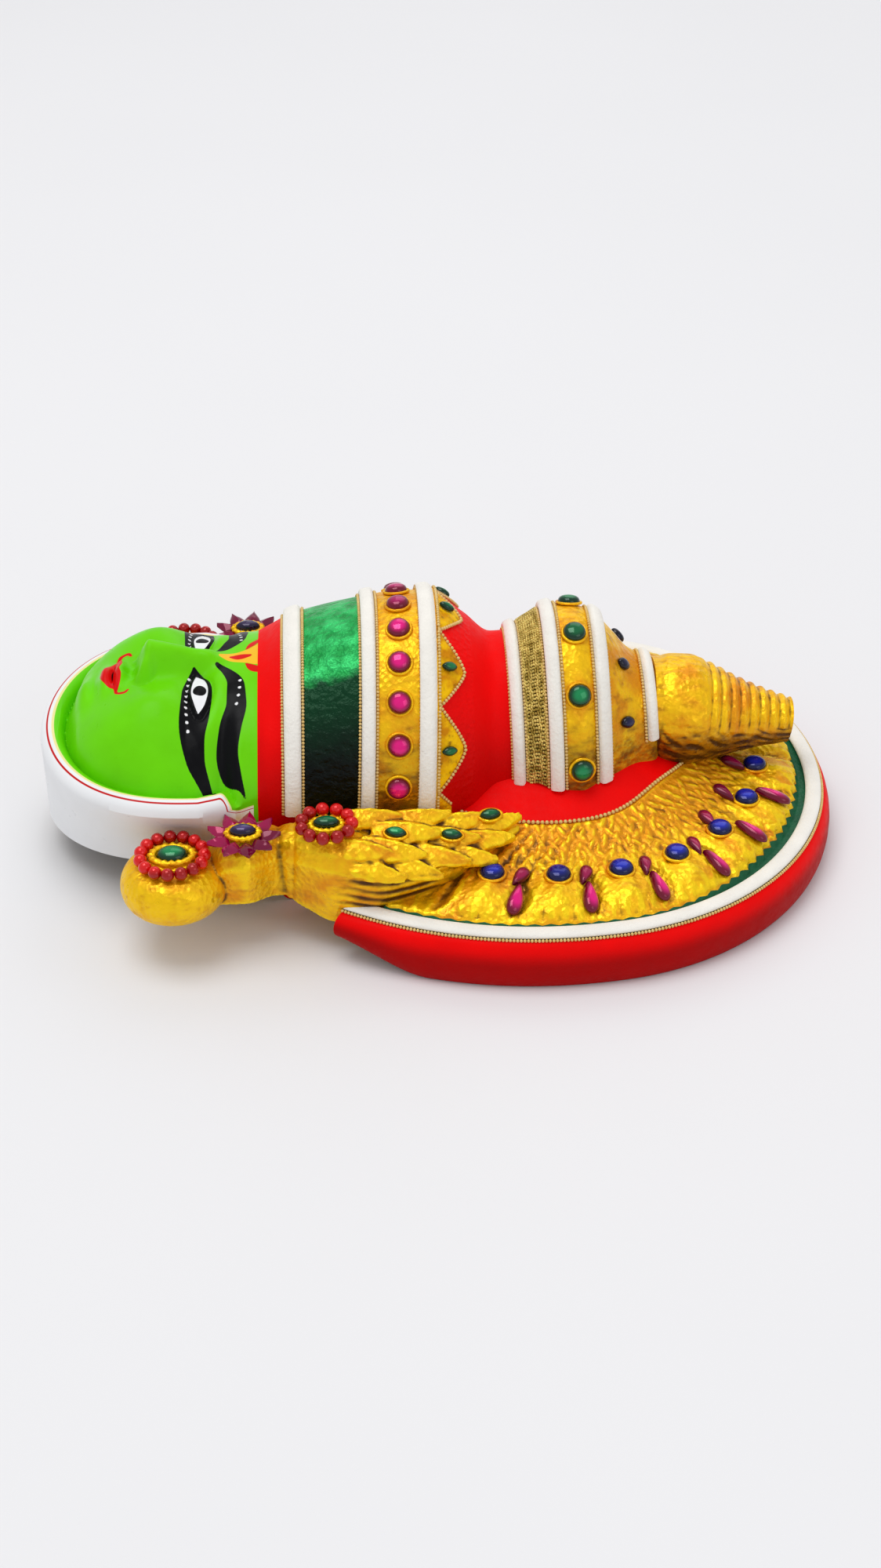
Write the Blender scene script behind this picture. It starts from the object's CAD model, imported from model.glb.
"""Painted Kathakali mask lying on its back: moulded head, halo and trims, dressed around the solids."""

import math
from functools import cache

import bmesh
import bpy
import numpy as np
from bpy.props import FloatProperty, FloatVectorProperty, PointerProperty
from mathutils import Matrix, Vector
from mathutils.bvhtree import BVHTree


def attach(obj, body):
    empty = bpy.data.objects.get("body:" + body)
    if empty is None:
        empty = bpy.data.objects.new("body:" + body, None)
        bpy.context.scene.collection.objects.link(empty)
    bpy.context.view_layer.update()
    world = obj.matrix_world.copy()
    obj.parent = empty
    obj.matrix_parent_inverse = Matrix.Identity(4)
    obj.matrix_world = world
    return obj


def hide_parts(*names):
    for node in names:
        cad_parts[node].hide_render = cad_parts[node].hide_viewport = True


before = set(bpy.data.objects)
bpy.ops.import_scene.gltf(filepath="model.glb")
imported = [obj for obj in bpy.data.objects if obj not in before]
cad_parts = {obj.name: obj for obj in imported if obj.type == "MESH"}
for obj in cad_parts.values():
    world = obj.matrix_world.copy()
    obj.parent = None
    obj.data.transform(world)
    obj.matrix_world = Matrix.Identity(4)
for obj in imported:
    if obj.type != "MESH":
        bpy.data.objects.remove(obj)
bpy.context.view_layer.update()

bl_info = {
    "name": "Kathakali Mask",
    "version": (1, 0, 0),
    "blender": (4, 5, 0),
    "location": "3D View > Sidebar > Mask",
    "description": "Dresses a moulded dance-drama mask with paint, gilding, strips, stones and beads",
    "category": "Add Mesh",
}

MM = 0.001

# Shared forms, the same as those of the solids, in millimetres
LENGTH = 300.0
CHIN_X = -LENGTH / 2
WALL = 4.5
JAW_END_X, JAW_HALF, JAW_BACK_SHARE, JAW_BACK_Z = -89.0, 61.0, 0.7, 14.0
FRAME_WIDTH, FRAME_EDGE_Z, FRAME_ROLL, FRAME_END = 9.0, 47.0, 5.0, (-82.0, -74.0)
HEADBAND = (-70.0, -64.0)
FACE_THIRD = 29.0
FACE_BOTTOM_X = CHIN_X + FRAME_WIDTH
NOSE_BASE_X = FACE_BOTTOM_X + FACE_THIRD
BROW_X = NOSE_BASE_X + FACE_THIRD
EYE_X = BROW_X - 0.22 * FACE_THIRD
MOUTH_X = NOSE_BASE_X - FACE_THIRD / 3
CHIN_BOSS_X = FACE_BOTTOM_X + 0.27 * FACE_THIRD
EYE_Y, NOSE_HEIGHT = 17.5, 12.5
STRIPS = [
    ("strip_1_brow", -56.0, 6.0, 0.985),
    ("strip_2", -29.0, 5.0, 0.985),
    ("strip_3", -7.0, 5.4, 0.985),
    ("strip_4", 28.0, 4.2, 0.98),
    ("strip_5", 41.5, 5.0, 0.98),
    ("strip_6", 59.0, 4.4, 0.98),
    ("strip_7_finial", 78.0, 3.4, 0.9),
]
CROWN_END_X = 83.0
LEAF_REACH, LEAF_RAISE, LEAF_COUNT, LEAF_PITCH = 10.0, 1.4, 5, 33.0
FINIAL_START, FINIAL_END = np.array([80.6, 0, 48.3]), np.array([133.0, 0, 41.2])
HALO_X, HALO_R, HALO_EDGE_Z, HALO_RISE, HALO_WALL = 45.0, 100.0, 20.0, 18.0, 4.0
HALO_HALF_ANGLE, FLARE_START, FLARE_REACH = 136.0, 82.0, 16.0
PETAL_FIRST, PETAL_STEP, PETALS_A_SIDE, PETAL_RAISE, PETAL_R = 8.0, 17.4, 7, 4.0, (64.0, 93.0)
SAPPHIRE_R = 75.0
RIM_TOP_Z = 18.6
PIPING_R, PIPING_Z, PIPING_HALF, PIPING_RISE = 97.9, 20.1, 3.0, 1.2
BOSS_X, BOSS_Y, BOSS_R, BOSS_LEDGE, BOSS_TOP, BOSS_BACK = -98.8, 71.5, 19.2, 36.0, 38.0, 17.5
FLOWERS = [(-73.5, 69.5, 44.0), (-44.0, 67.5, 45.0)]
RIM_THINNING, RIM_THINS_FROM = 0.5, 119.0
HOLLOW = (-143.0, 60.0)
RUBY_X, RUBY_COUNT, RUBY_STEP = -18.0, 11, 16.0
EMERALD_X, EMERALD_COUNT, EMERALD_STEP = 50.3, 6, 32.0
LEAF_STONE_X, STONE_LIFT, LEAF_STONE_LIFT, SAPPHIRE_LIFT = 0.0, 0.35, 0.6, 0.3
BEAD_RING_R, BEAD_RING_COUNT = 11.4, 15

# Trims that the solids leave out or keep plain, in millimetres and degrees
SKIRT_R, SKIRT_DIP, SKIRT_DIP_AT, SKIRT_DIP_SPREAD = 51.4, 5.5, 42.0, 26.0
GOLD_RING_R, GOLD_RING_CUT = 94.6, 2.8
SCALLOPS_A_DEGREE, SCALLOP_DEPTH, SCALLOP_EXTRA = 0.29, 0.9, 1.1
BY_CROWN_END, BY_EARS = (35, 75), (94, 114)
BRAID_X, BRAID_HALF, BRAID_TURNS, BRAID_CORDS = 34.55, 3.5, 26, 4
BRAID_BEAD, BRAID_SPACING = 0.52, 0.98
FINIAL_RIB_PITCH, FINIAL_FLUTES, FINIAL_STROKES = 4.1, 17, 23
FLOWER_PETALS, FLOWER_BEADS, FLOWER_BEAD_R, FLOWER_STONE_LIFT = 9, 11, 2.5, 2.2
EAR_VOXEL = 0.46

# Stones that the solids leave out; a pair is by the crown's end and by the ears
DUSK_STONE_X, DUSK_STONE_ANGLES, DUSK_STONE_LIFT = 68.5, (-62, -22, 22, 62), 0.2
DROP_R, DROP_TURN, DROP_LIFT = (83.6, 85.0), (-3.8, -7.2), 0.5
CURL_R, CURL_TURN = (66.5, 75.0), (1.5, -7.0)

# Place along X, place across and heading of the stones on an ear's tail
TAIL_STONES = ((-19.5, 69.0, -12), (0.5, 66.0, -8), (15.0, 56.0, 12))

# Length, width, rise and point of the stones that are not round; below zero points one end only
STONE_SHAPES = {
    "leaf_stone": (6.2, 3.6, 1.9, 0.35),
    "dusk_stone": (6.4, 4.6, 2.0, 0.2),
    "curl": (10.0, 6.2, 2.4, -1.0),
    "boss_jewel": (11, 8.6, 3.6),
    "jewel": (9.4, 5.6, 2.8, 0.3),
    "tail_stone": (7.6, 4.4, 2.2, 0.3),
}
DROP_WIDTH, DROP_RISE = 7.4, 3.0

# Value of a paint layer well outside its shape
CLEAR = 5.0

# Facing and heading of what lies flat
UP, ALONG = (0, 0, 1), (1, 0, 0)


def curve_through(*pairs):
    """Smooth curve through [position, value] pairs that never overshoots them."""
    xs, ys = np.array(pairs, float).T
    slopes = np.diff(ys) / np.diff(xs)
    tangents = np.empty_like(ys)
    tangents[0], tangents[-1] = slopes[0], slopes[-1]
    product = slopes[:-1] * slopes[1:]
    total = np.where(product > 0, slopes[:-1] + slopes[1:], 1.0)
    tangents[1:-1] = np.where(product > 0, 2 * product / total, 0.0)

    def value(at):
        at = np.clip(np.asarray(at, float), xs[0], xs[-1])
        i = np.clip(np.searchsorted(xs, at, side="right") - 1, 0, len(xs) - 2)
        span = xs[i + 1] - xs[i]
        t = (at - xs[i]) / span
        rise = t * t * (3 - 2 * t)
        bend = span * t * (1 - t) * ((1 - t) * tangents[i] - t * tangents[i + 1])
        return ys[i] * (1 - rise) + ys[i + 1] * rise + bend

    return value


def smoothstep(value, low, high):
    t = np.clip((value - low) / (high - low), 0.0, 1.0)
    return t * t * (3 - 2 * t)


def mix(a, b, share):
    return a + (b - a) * share


def bump(offset, width):
    return np.exp(-((offset / width) ** 2))


def stacked(x, y, z):
    """Points from their coordinates, spread to one shape."""
    return np.stack(np.broadcast_arrays(x, y, z), -1)


apex_at = curve_through(
    [-150, 47.6], [-141, 48.4], [-133, 60], [-119, 69], [-105, 72], [-90, 74], [-78, 75.5], [-70, 77],
    [-66, 79], [-57, 86], [-29, 94.5], [-16, 96.5], [-7, 96.5], [0, 93], [9, 87], [20, 80],
    [25.5, 80.5], [34, 85.5], [43, 90.4], [50, 91], [57, 88.8], [63, 84], [72, 73], [79.8, 67.4],
    [81.5, 63], [83, 62],
)
crown_half_width_at = curve_through(
    [-89, 61], [-80, 58], [-68, 50.5], [-57, 48.5], [-29, 48], [-7, 48], [9, 41], [20, 33], [25.5, 32.5],
    [34, 35.5], [43, 38.6], [50, 38.8], [57, 35], [63, 31], [72, 24], [79.8, 19.6], [81.5, 16.5], [83, 16],
)
shoulder_at = curve_through(
    [-150, FRAME_EDGE_Z], [-89, FRAME_EDGE_Z], [-57, 38], [59, 38], [79, 45], [83, 45.5]
)
back_at = curve_through([-150, JAW_BACK_Z], [-70, JAW_BACK_Z], [-58, 0], [83, 0])
lean_at = curve_through(
    [-78, 0], [-66, 1.2], [-56, 1.6], [-29, 2.4], [-7, 2.2], [28, -1.5], [59, -2], [83, -1.5]
)
finial_radius_at = curve_through(
    [0, 19.6], [5, 21], [12, 21.4], [20, 19], [31, 14.6], [43, 10.8], [52, 8.6]
)


def half_width_at(x):
    share = np.clip((x - CHIN_X) / (JAW_END_X - CHIN_X), 0, 1)
    jaw = JAW_HALF * np.sqrt(1 - (1 - share) ** 2.5)
    return np.where(x >= JAW_END_X, crown_half_width_at(x), jaw)


def back_share_at(x):
    return mix(JAW_BACK_SHARE, 1.0, smoothstep(x, -96, HEADBAND[0]))


def outline_points():
    """The jaw's and temples' outline in plan, dense round the chin."""
    x = np.concatenate([CHIN_X + 12 * np.linspace(0, 1, 160) ** 2, np.linspace(-137.5, -50, 180)])
    return np.stack([x, half_width_at(x)], -1)


OUTLINE = outline_points()


def inset_at(x, y):
    """Distance from the outer edge of the jaw or temple, measured inwards in plan."""
    x, y = np.broadcast_arrays(np.asarray(x, float), np.asarray(y, float))
    flat_x, flat_y = x.ravel(), np.abs(y).ravel()
    best = np.full(flat_x.shape, 1e6)
    for start, end in zip(OUTLINE[:-1], OUTLINE[1:]):
        run = end - start
        t = np.clip(((flat_x - start[0]) * run[0] + (flat_y - start[1]) * run[1]) / (run @ run), 0, 1)
        near = (flat_x - start[0] - t * run[0]) ** 2 + (flat_y - start[1] - t * run[1]) ** 2
        np.minimum(best, near, out=best)
    return np.sqrt(best).reshape(x.shape)


def face_relief(x, y):
    """Carved features of the face, as heights over its smooth form."""
    side = np.abs(y)
    down = np.clip((BROW_X - x) / (BROW_X - NOSE_BASE_X - 5), 0, 1)
    ridge = smoothstep(x, NOSE_BASE_X - 3, NOSE_BASE_X + 5) * (1 - smoothstep(x, BROW_X - 3, BROW_X + 8))
    nose = ridge * mix(3, NOSE_HEIGHT, down) * np.exp(-((side / mix(4, 6.8, down)) ** 2.4))
    nostrils = 3 * bump(x - NOSE_BASE_X - 2.8, 3.2) * bump(side - 6.8, 2.6)
    holes = -1.8 * bump(x - NOSE_BASE_X + 0.6, 1.5) * bump(side - 3.6, 1.8)
    wing = -0.7 * bump(np.hypot(x - NOSE_BASE_X - 2.8, side - 6.2) - 4.6, 0.8) * smoothstep(side, 6, 9)
    bridge = -1.2 * bump(x - BROW_X + 3, 4) * bump(side - 8, 3.4)
    brow = 3 * bump(x - BROW_X - 1 + 0.012 * (side - EYE_Y) ** 2, 4) * bump(side - EYE_Y, 14)
    socket = -3.6 * bump(x - EYE_X, 6.5) * bump(side - EYE_Y, 10)
    eyeball = 4.4 * bump(x - EYE_X, 3.8) * bump(side - EYE_Y, 7.5)
    cheek = 4 * bump(x - NOSE_BASE_X - 6, 12) * bump(side - 25, 11)
    upper_lip = 4 * bump(x - MOUTH_X - 2.6 - 0.5 * bump(side - 3, 2.2), 2.4) * bump(y, 9)
    lower_lip = 4.6 * bump(x - MOUTH_X + 2.8, 2.6) * bump(y, 7.5)
    under_lip = -1.6 * bump(x - MOUTH_X + 7.2, 2.4) * bump(y, 9)
    chin = 5 * bump(x - CHIN_BOSS_X, 6) * bump(y, 9)
    rim = eye_white(x, y)
    lids = 0.9 * bump(rim - 0.5, 0.55) - 0.5 * bump(rim - 1.9, 0.6)
    philtrum = -0.7 * bump(y, 1.6) * bump(x - MOUTH_X - 6.6, 2.2)
    parting = -1.5 * bump(x - mouth_line(y), 0.7) * bump(y, 8)
    corners = -0.9 * bump(x - mouth_line(y) - 0.4, 1.6) * bump(side - 10.6, 1.6)
    forms = nose + nostrils + holes + wing + bridge + brow + socket + eyeball + cheek
    return forms + upper_lip + lower_lip + under_lip + chin + lids + philtrum + parting + corners


def face_height(x, y):
    frame_share = 1 - smoothstep(x, *FRAME_END)
    width = FRAME_WIDTH * frame_share
    inset = inset_at(x, y)
    middle = np.maximum(inset_at(x, 0 * y) - width, 6.0 * frame_share + 1e-3)
    share = np.clip((inset - width) / middle, 0, 1)
    dome = (apex_at(x) - FRAME_EDGE_Z) * (1 - (1 - share) ** 2.2) ** 0.85
    across = (inset - FRAME_WIDTH / 2) / (FRAME_WIDTH / 2)
    roll = FRAME_ROLL * frame_share * np.sqrt(np.maximum(0, 1 - across**2))
    fade = smoothstep(share, 0, 0.3)
    return FRAME_EDGE_Z + np.maximum(dome + fade * face_relief(x, y), roll)


def leaf_tip(angle):
    """Where the gold leaf edging ends along X at an angle over the crown."""
    pitch = math.radians(LEAF_PITCH)
    offset = np.abs(((angle + pitch * 10.5) % pitch) - pitch / 2) / (pitch / 2)
    return STRIPS[2][1] + LEAF_REACH * (1 - offset**1.4) + 3


def leaf_relief(x, angle):
    start = STRIPS[2][1]
    tip = leaf_tip(angle)
    return LEAF_RAISE * smoothstep(x, start, start + 1) * (1 - smoothstep(x, tip - 0.5, tip + 0.5))


def head_points(x, across):
    """Points of the head's outer surface; across runs from -1 to 1 over the top."""
    x, across = np.broadcast_arrays(np.asarray(x, float), np.asarray(across, float))
    crown = smoothstep(x, *HEADBAND)
    angle = across * math.pi / 2
    width = half_width_at(x)
    shoulder = shoulder_at(x)
    y = width * mix(across, np.sin(angle), crown)
    rise = apex_at(x) - shoulder
    leaf = leaf_relief(x, angle)
    arch = shoulder + (rise + leaf) * np.sqrt(np.maximum(0, 1 - (y / np.maximum(width, 1e-6)) ** 2))
    z = mix(face_height(x, y), arch, crown)
    lean = lean_at(x) * (z - shoulder) / rise
    return stacked(x + lean, y + leaf * crown * np.sin(angle), z)


def head_normals(x, across):
    along = head_points(x + 0.5, across) - head_points(x - 0.5, across)
    over = head_points(x, np.minimum(across + 0.01, 1)) - head_points(x, np.maximum(across - 0.01, -1))
    out = np.cross(along, over)
    return out / np.linalg.norm(out, axis=-1, keepdims=True)


def flare_at(angle):
    reach = np.maximum(0, (np.abs(angle) - FLARE_START) / (HALO_HALF_ANGLE - FLARE_START))
    return 1 + FLARE_REACH / HALO_R * reach**1.8


def skirt_radius(angle):
    """Where the red skirt meets the gold ring."""
    return SKIRT_R - SKIRT_DIP * bump(np.abs(angle) - SKIRT_DIP_AT, SKIRT_DIP_SPREAD)


def rim_depth_at(angle):
    """Share of the rim's depth that is left, less towards its two ends."""
    return 1 - RIM_THINNING * smoothstep(np.abs(angle), RIM_THINS_FROM, HALO_HALF_ANGLE + 1)


def halo_height(radius):
    return HALO_EDGE_Z + HALO_RISE * (np.maximum(0, HALO_R - radius) / 60) ** 1.5


def petal_offset(angle):
    """How far an angle lies from its petal's middle, from 0 to 1 at the edge between two petals."""
    turn = (np.abs(angle) - PETAL_FIRST) / PETAL_STEP
    nearest = np.clip(np.round(turn), 0, PETALS_A_SIDE - 1)
    return np.clip(np.abs(turn - nearest) * 2, 0, 1)


def petal_relief(radius, angle):
    along = np.clip((radius - PETAL_R[0]) / (PETAL_R[1] - PETAL_R[0]), 0, 1)
    swell = np.maximum(0, np.sin(math.pi * along**2)) ** 0.8
    return PETAL_RAISE * swell * np.cos(math.pi / 2 * petal_offset(angle))


def round_halo(reach, angle, height):
    """Points at a distance from the halo's centre."""
    turn = np.radians(angle)
    return stacked(HALO_X + reach * np.cos(turn), reach * np.sin(turn), height)


def halo_points(radius, angle, height):
    return round_halo(radius * flare_at(angle), angle, height)


# Painted shapes on the face, as signed distances in millimetres, negative inside
def stroke(x, side, path):
    """Distance to a brush stroke through (x, y, half width) points."""
    knots = np.array(path, float)
    spans = np.arange(len(knots), dtype=float)
    fine = np.linspace(0, len(knots) - 1, 6 * (len(knots) - 1) + 1)
    smooth_path = np.stack([curve_through(*zip(spans, knots[:, i]))(fine) for i in range(3)], -1)
    best = np.full(np.shape(x), 1e3)
    for (ax, ay, ar), (bx, by, br) in zip(smooth_path[:-1], smooth_path[1:]):
        dx, dy = bx - ax, by - ay
        t = np.clip(((x - ax) * dx + (side - ay) * dy) / (dx * dx + dy * dy + 1e-9), 0, 1)
        best = np.minimum(best, np.hypot(x - ax - t * dx, side - ay - t * dy) - ar - t * (br - ar))
    return best


def eye_white(x, y):
    return stroke(x, np.abs(y), [(EYE_X - 0.8, 8.8, 0.2), (EYE_X + 0.3, 13, 2.3), (EYE_X + 0.6, 17.5, 3.1),
                                 (EYE_X + 0.6, 22, 2.2), (EYE_X + 0.2, 26.8, 0.2)])


def mouth_line(y):
    return MOUTH_X + 0.018 * y * y


def face_paint(x, y):
    """The layers of make-up, each a signed distance."""
    side = np.abs(y)
    black = stroke(x, side, [(EYE_X - 1.6, 5.6, 0.6), (EYE_X - 0.8, 11, 3.8), (EYE_X - 0.4, 18, 5.6),
                             (EYE_X - 1.0, 26, 5.4), (EYE_X - 2.0, 34, 4.6), (EYE_X - 1.0, 42, 3.4),
                             (EYE_X + 3.5, 50, 1.6), (EYE_X + 7, 55, 0.3)])
    brow = stroke(x, side, [(BROW_X + 0.5, 4.5, 0.8), (BROW_X + 4.2, 9, 2.0), (BROW_X + 7.2, 16, 2.9),
                            (BROW_X + 7.4, 24, 3.4), (BROW_X + 5.2, 32, 4.0), (BROW_X + 4.0, 40, 3.9),
                            (BROW_X + 6.5, 47, 2.4), (BROW_X + 10, 52, 0.4)])
    dots = np.full(np.shape(x), 1e3)
    for i in range(9):
        at = 9 + 3.1 * i
        dots = np.minimum(dots, np.hypot(x - EYE_X + 3.5 + 0.9 * math.sin(i / 8 * math.pi), side - at) - 0.62)
    for i in range(4):
        dots = np.minimum(dots, np.hypot(x - BROW_X - 8.6 + 0.5 * i * i / 4, side - 14 - 3.4 * i) - 0.6)
    ring = np.hypot(x - EYE_X - 0.6, side - 17.3)
    upper = mouth_line(y) + 3.7 * np.maximum(0, 1 - (side / 10.5) ** 2) ** 0.7 - 0.9 * bump(y, 2.0)
    lower = mouth_line(y) - 4.6 * np.maximum(0, 1 - (side / 9.0) ** 2) ** 0.8
    lips = np.where(side < 11, np.maximum(x - upper, lower - x), CLEAR)
    curl = stroke(x, side, [(MOUTH_X + 1.4, 9, 0.5), (MOUTH_X + 2.4, 12.2, 0.75), (MOUTH_X + 5, 13.2, 0.8),
                            (MOUTH_X + 6.4, 11.6, 0.5)])
    mark_yellow = stroke(x, side, [(BROW_X + 2, 0, 1.0), (BROW_X + 5, 0, 2.4), (BROW_X + 9, 0, 3.6),
                                   (BROW_X + 14, 0, 5.6), (BROW_X + 18, 0, 8)])
    mark_red = stroke(x, side, [(BROW_X + 5.4, 0, 0.6), (BROW_X + 8.5, 0, 1.7), (BROW_X + 11.5, 0, 0.9)])
    petal = stroke(x, side, [(BROW_X + 10.5, 5, 0.4), (BROW_X + 13, 8.6, 1.5), (BROW_X + 16.5, 12, 0.5)])
    seam = np.abs(x - mouth_line(y)) - 0.3 + 0.03 * side
    frame_line = inset_at(x, y) - FRAME_WIDTH * (1 - smoothstep(x, *FRAME_END))
    return {
        "ink": np.minimum(np.minimum(black, brow), np.where(side < 11, seam, CLEAR)),
        "dots": np.minimum(eye_white(x, y), dots),
        "pupil": np.where(side < 40, ring - 2.5, CLEAR),
        "rouge": np.minimum(np.minimum(lips, curl), np.minimum(mark_red, petal)),
        "ochre": mark_yellow,
        "frame_line": frame_line,
    }


# Mesh building
def link(name, data):
    piece = bpy.data.objects.new(name, data)
    bpy.context.scene.collection.objects.link(piece)
    return piece


def add_layer(mesh, name, values):
    """Keep one number a point with the mesh, for its finish to read."""
    data = mesh.attributes.new(name, "FLOAT", "POINT").data
    data.foreach_set("value", np.asarray(values, np.float32))


def mesh_of(name, points, faces, finishes, which=None, layers=None, sharp=40):
    """A smooth closed mesh in metres from points in millimetres."""
    mesh = bpy.data.meshes.new(name)
    mesh.from_pydata((np.asarray(points) * MM).tolist(), [], faces)
    for finish in finishes:
        mesh.materials.append(finish)
    if which is not None:
        mesh.polygons.foreach_set("material_index", np.asarray(which, np.int32))
    for layer, values in (layers or {}).items():
        add_layer(mesh, layer, values)
    body = bmesh.new()
    body.from_mesh(mesh)
    bmesh.ops.recalc_face_normals(body, faces=body.faces)
    body.to_mesh(mesh)
    body.free()
    mesh.shade_smooth()
    mesh.set_sharp_from_angle(angle=math.radians(sharp))
    mesh.update()
    return mesh


def evaluated_mesh(name, piece):
    """The plain mesh that a piece's modifiers make."""
    mesh = bpy.data.meshes.new_from_object(piece.evaluated_get(bpy.context.evaluated_depsgraph_get()))
    mesh.name = name
    return mesh


def loft_faces(rows, count, endless=False, capped=True):
    """Quads over closed rings of points, and a flat cap over each end."""
    i = np.arange(rows if endless else rows - 1)[:, None]
    j = np.arange(count)[None, :]
    here, ahead = i * count, (i + 1) % rows * count
    after = (j + 1) % count
    corners = np.broadcast_arrays(here + j, ahead + j, ahead + after, here + after)
    faces = np.stack(corners, -1).reshape(-1, 4).tolist()
    if capped and not endless:
        faces.append(list(range(count)))
        faces.append(list(range((rows - 1) * count, rows * count)))
    return faces


def lofted(rings):
    """Points and faces of a closed form from its rings."""
    return rings.reshape(-1, 3), loft_faces(*rings.shape[:2])


def joined(parts):
    """One list of points and faces from several."""
    points, faces, start = [], [], 0
    for part_points, part_faces in parts:
        points.append(np.asarray(part_points, float).reshape(-1, 3))
        faces += [[v + start for v in face] for face in part_faces]
        start += len(points[-1])
    return np.concatenate(points), faces


def turned(profile, count):
    """A closed turned form about Z from (radius, z) pairs that start and end on the axis."""
    rings = profile[1:-1]
    turn = np.linspace(0, 2 * math.pi, count, endpoint=False)
    points = [stacked(r * np.cos(turn), r * np.sin(turn), z) for r, z in rings]
    faces = loft_faces(len(rings), count, capped=False)
    first, last = len(rings) * count, len(rings) * count + 1
    for j in range(count):
        after = (j + 1) % count
        faces.append([first, after, j])
        faces.append([last, (len(rings) - 1) * count + j, (len(rings) - 1) * count + after])
    ends = np.array([[0, 0, profile[0][1]], [0, 0, profile[-1][1]]])
    return np.concatenate([*points, ends]), faces


def mirrored(points, faces):
    return np.asarray(points) * [1, -1, 1], [face[::-1] for face in faces]


def finish_piece(piece, slot, *nodes):
    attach(piece, "root")
    if nodes:
        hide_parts(*nodes)
    return piece


def add_piece(name, form, finishes, slot, nodes=(), **more):
    """A finished piece from its points and faces."""
    finish_piece(link(name, mesh_of(name, *form, finishes, **more)), slot, *nodes)


# Materials
class Look:
    """A node material with short calls for what the finishes share."""

    def __init__(self, name, roughness=0.4, metallic=0.0, coat=0.0, coat_roughness=0.1, shine=0.25):
        self.material = bpy.data.materials.new(name)
        self.material.use_nodes = True
        self.tree = self.material.node_tree
        self.shader = self.tree.nodes["Principled BSDF"]
        self.shader.inputs["Roughness"].default_value = roughness
        self.shader.inputs["Metallic"].default_value = metallic
        self.shader.inputs["Coat Weight"].default_value = coat
        self.shader.inputs["Coat Roughness"].default_value = coat_roughness
        self.shader.inputs["Specular IOR Level"].default_value = shine
        self.place = self.tree.nodes.new("ShaderNodeTexCoord").outputs["Object"]

    def put(self, socket, value):
        if hasattr(value, "is_output"):
            self.tree.links.new(value, socket)
        else:
            socket.default_value = value

    def noise(self, scale, detail=3.0, stretch=None):
        node = self.tree.nodes.new("ShaderNodeTexNoise")
        node.inputs["Scale"].default_value = scale
        node.inputs["Detail"].default_value = detail
        place = self.place
        if stretch:
            mapping = self.tree.nodes.new("ShaderNodeMapping")
            mapping.inputs["Scale"].default_value = stretch
            self.tree.links.new(place, mapping.inputs["Vector"])
            place = mapping.outputs["Vector"]
        self.tree.links.new(place, node.inputs["Vector"])
        return node.outputs["Fac"]

    def cells(self, scale):
        node = self.tree.nodes.new("ShaderNodeTexVoronoi")
        node.inputs["Scale"].default_value = scale
        self.tree.links.new(self.place, node.inputs["Vector"])
        return node.outputs["Distance"]

    def layer(self, name):
        node = self.tree.nodes.new("ShaderNodeAttribute")
        node.attribute_name = name
        return node.outputs["Fac"]

    def spread(self, value, low, high, to_low=0.0, to_high=1.0):
        node = self.tree.nodes.new("ShaderNodeMapRange")
        node.interpolation_type = "SMOOTHSTEP"
        self.put(node.inputs["Value"], value)
        for socket, number in zip(("From Min", "From Max", "To Min", "To Max"), (low, high, to_low, to_high)):
            node.inputs[socket].default_value = number
        return node.outputs["Result"]

    def inside(self, name, edge=0.12):
        """1 inside a painted shape and 0 outside it."""
        return self.spread(self.layer(name), -edge, edge, 1.0, 0.0)

    def blend(self, share, first, second):
        node = self.tree.nodes.new("ShaderNodeMix")
        node.data_type = "RGBA"
        self.put(node.inputs["Factor"], share)
        self.put(node.inputs[6], first)
        self.put(node.inputs[7], second)
        return node.outputs[2]

    def sum(self, first, second, operation="ADD"):
        node = self.tree.nodes.new("ShaderNodeMath")
        node.operation = operation
        self.put(node.inputs[0], first)
        self.put(node.inputs[1], second)
        return node.outputs[0]

    def colour(self, value):
        self.put(self.shader.inputs["Base Color"], value)

    def rough(self, value):
        self.put(self.shader.inputs["Roughness"], value)

    def raise_by(self, height, distance):
        node = self.tree.nodes.new("ShaderNodeBump")
        node.inputs["Strength"].default_value = 1.0
        node.inputs["Distance"].default_value = distance
        self.put(node.inputs["Height"], height)
        self.tree.links.new(node.outputs["Normal"], self.shader.inputs["Normal"])


def rgba(colour, scale=1.0):
    return (colour[0] * scale, colour[1] * scale, colour[2] * scale, 1.0)


def gilded(name, metallic=0.5, roughness=0.36):
    """Gold paint over relief, warm orange in patches and brown in the recesses."""
    colours = looks()
    look = Look(name, roughness, metallic, shine=0.35)
    wash = look.layer("wash")
    base = look.blend(look.spread(look.noise(75.0, 5.0), 0.4, 0.68), rgba(colours.gold), rgba(colours.amber))
    base = look.blend(look.layer("warm"), base, rgba(colours.amber))
    base = look.blend(look.spread(wash, -0.4, 0.02, 0.9, 0.0), base, rgba(colours.glow))
    streaks = look.noise(170.0, 4.0, stretch=(0.7, 1.6, 1.6))
    base = look.blend(look.spread(streaks, 0.5, 0.85), base, rgba(colours.amber, 0.75))
    grime = look.sum(wash, look.spread(streaks, 0.35, 0.75, -0.12, 0.12))
    look.colour(look.blend(look.spread(grime, 0.15, 0.8), base, rgba(colours.umber)))
    look.rough(look.spread(look.noise(300.0), 0.25, 0.75, roughness - 0.1, roughness + 0.16))
    look.raise_by(look.sum(look.noise(420.0, 5.0), look.cells(520.0)), 0.0003)
    return look.material


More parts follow.
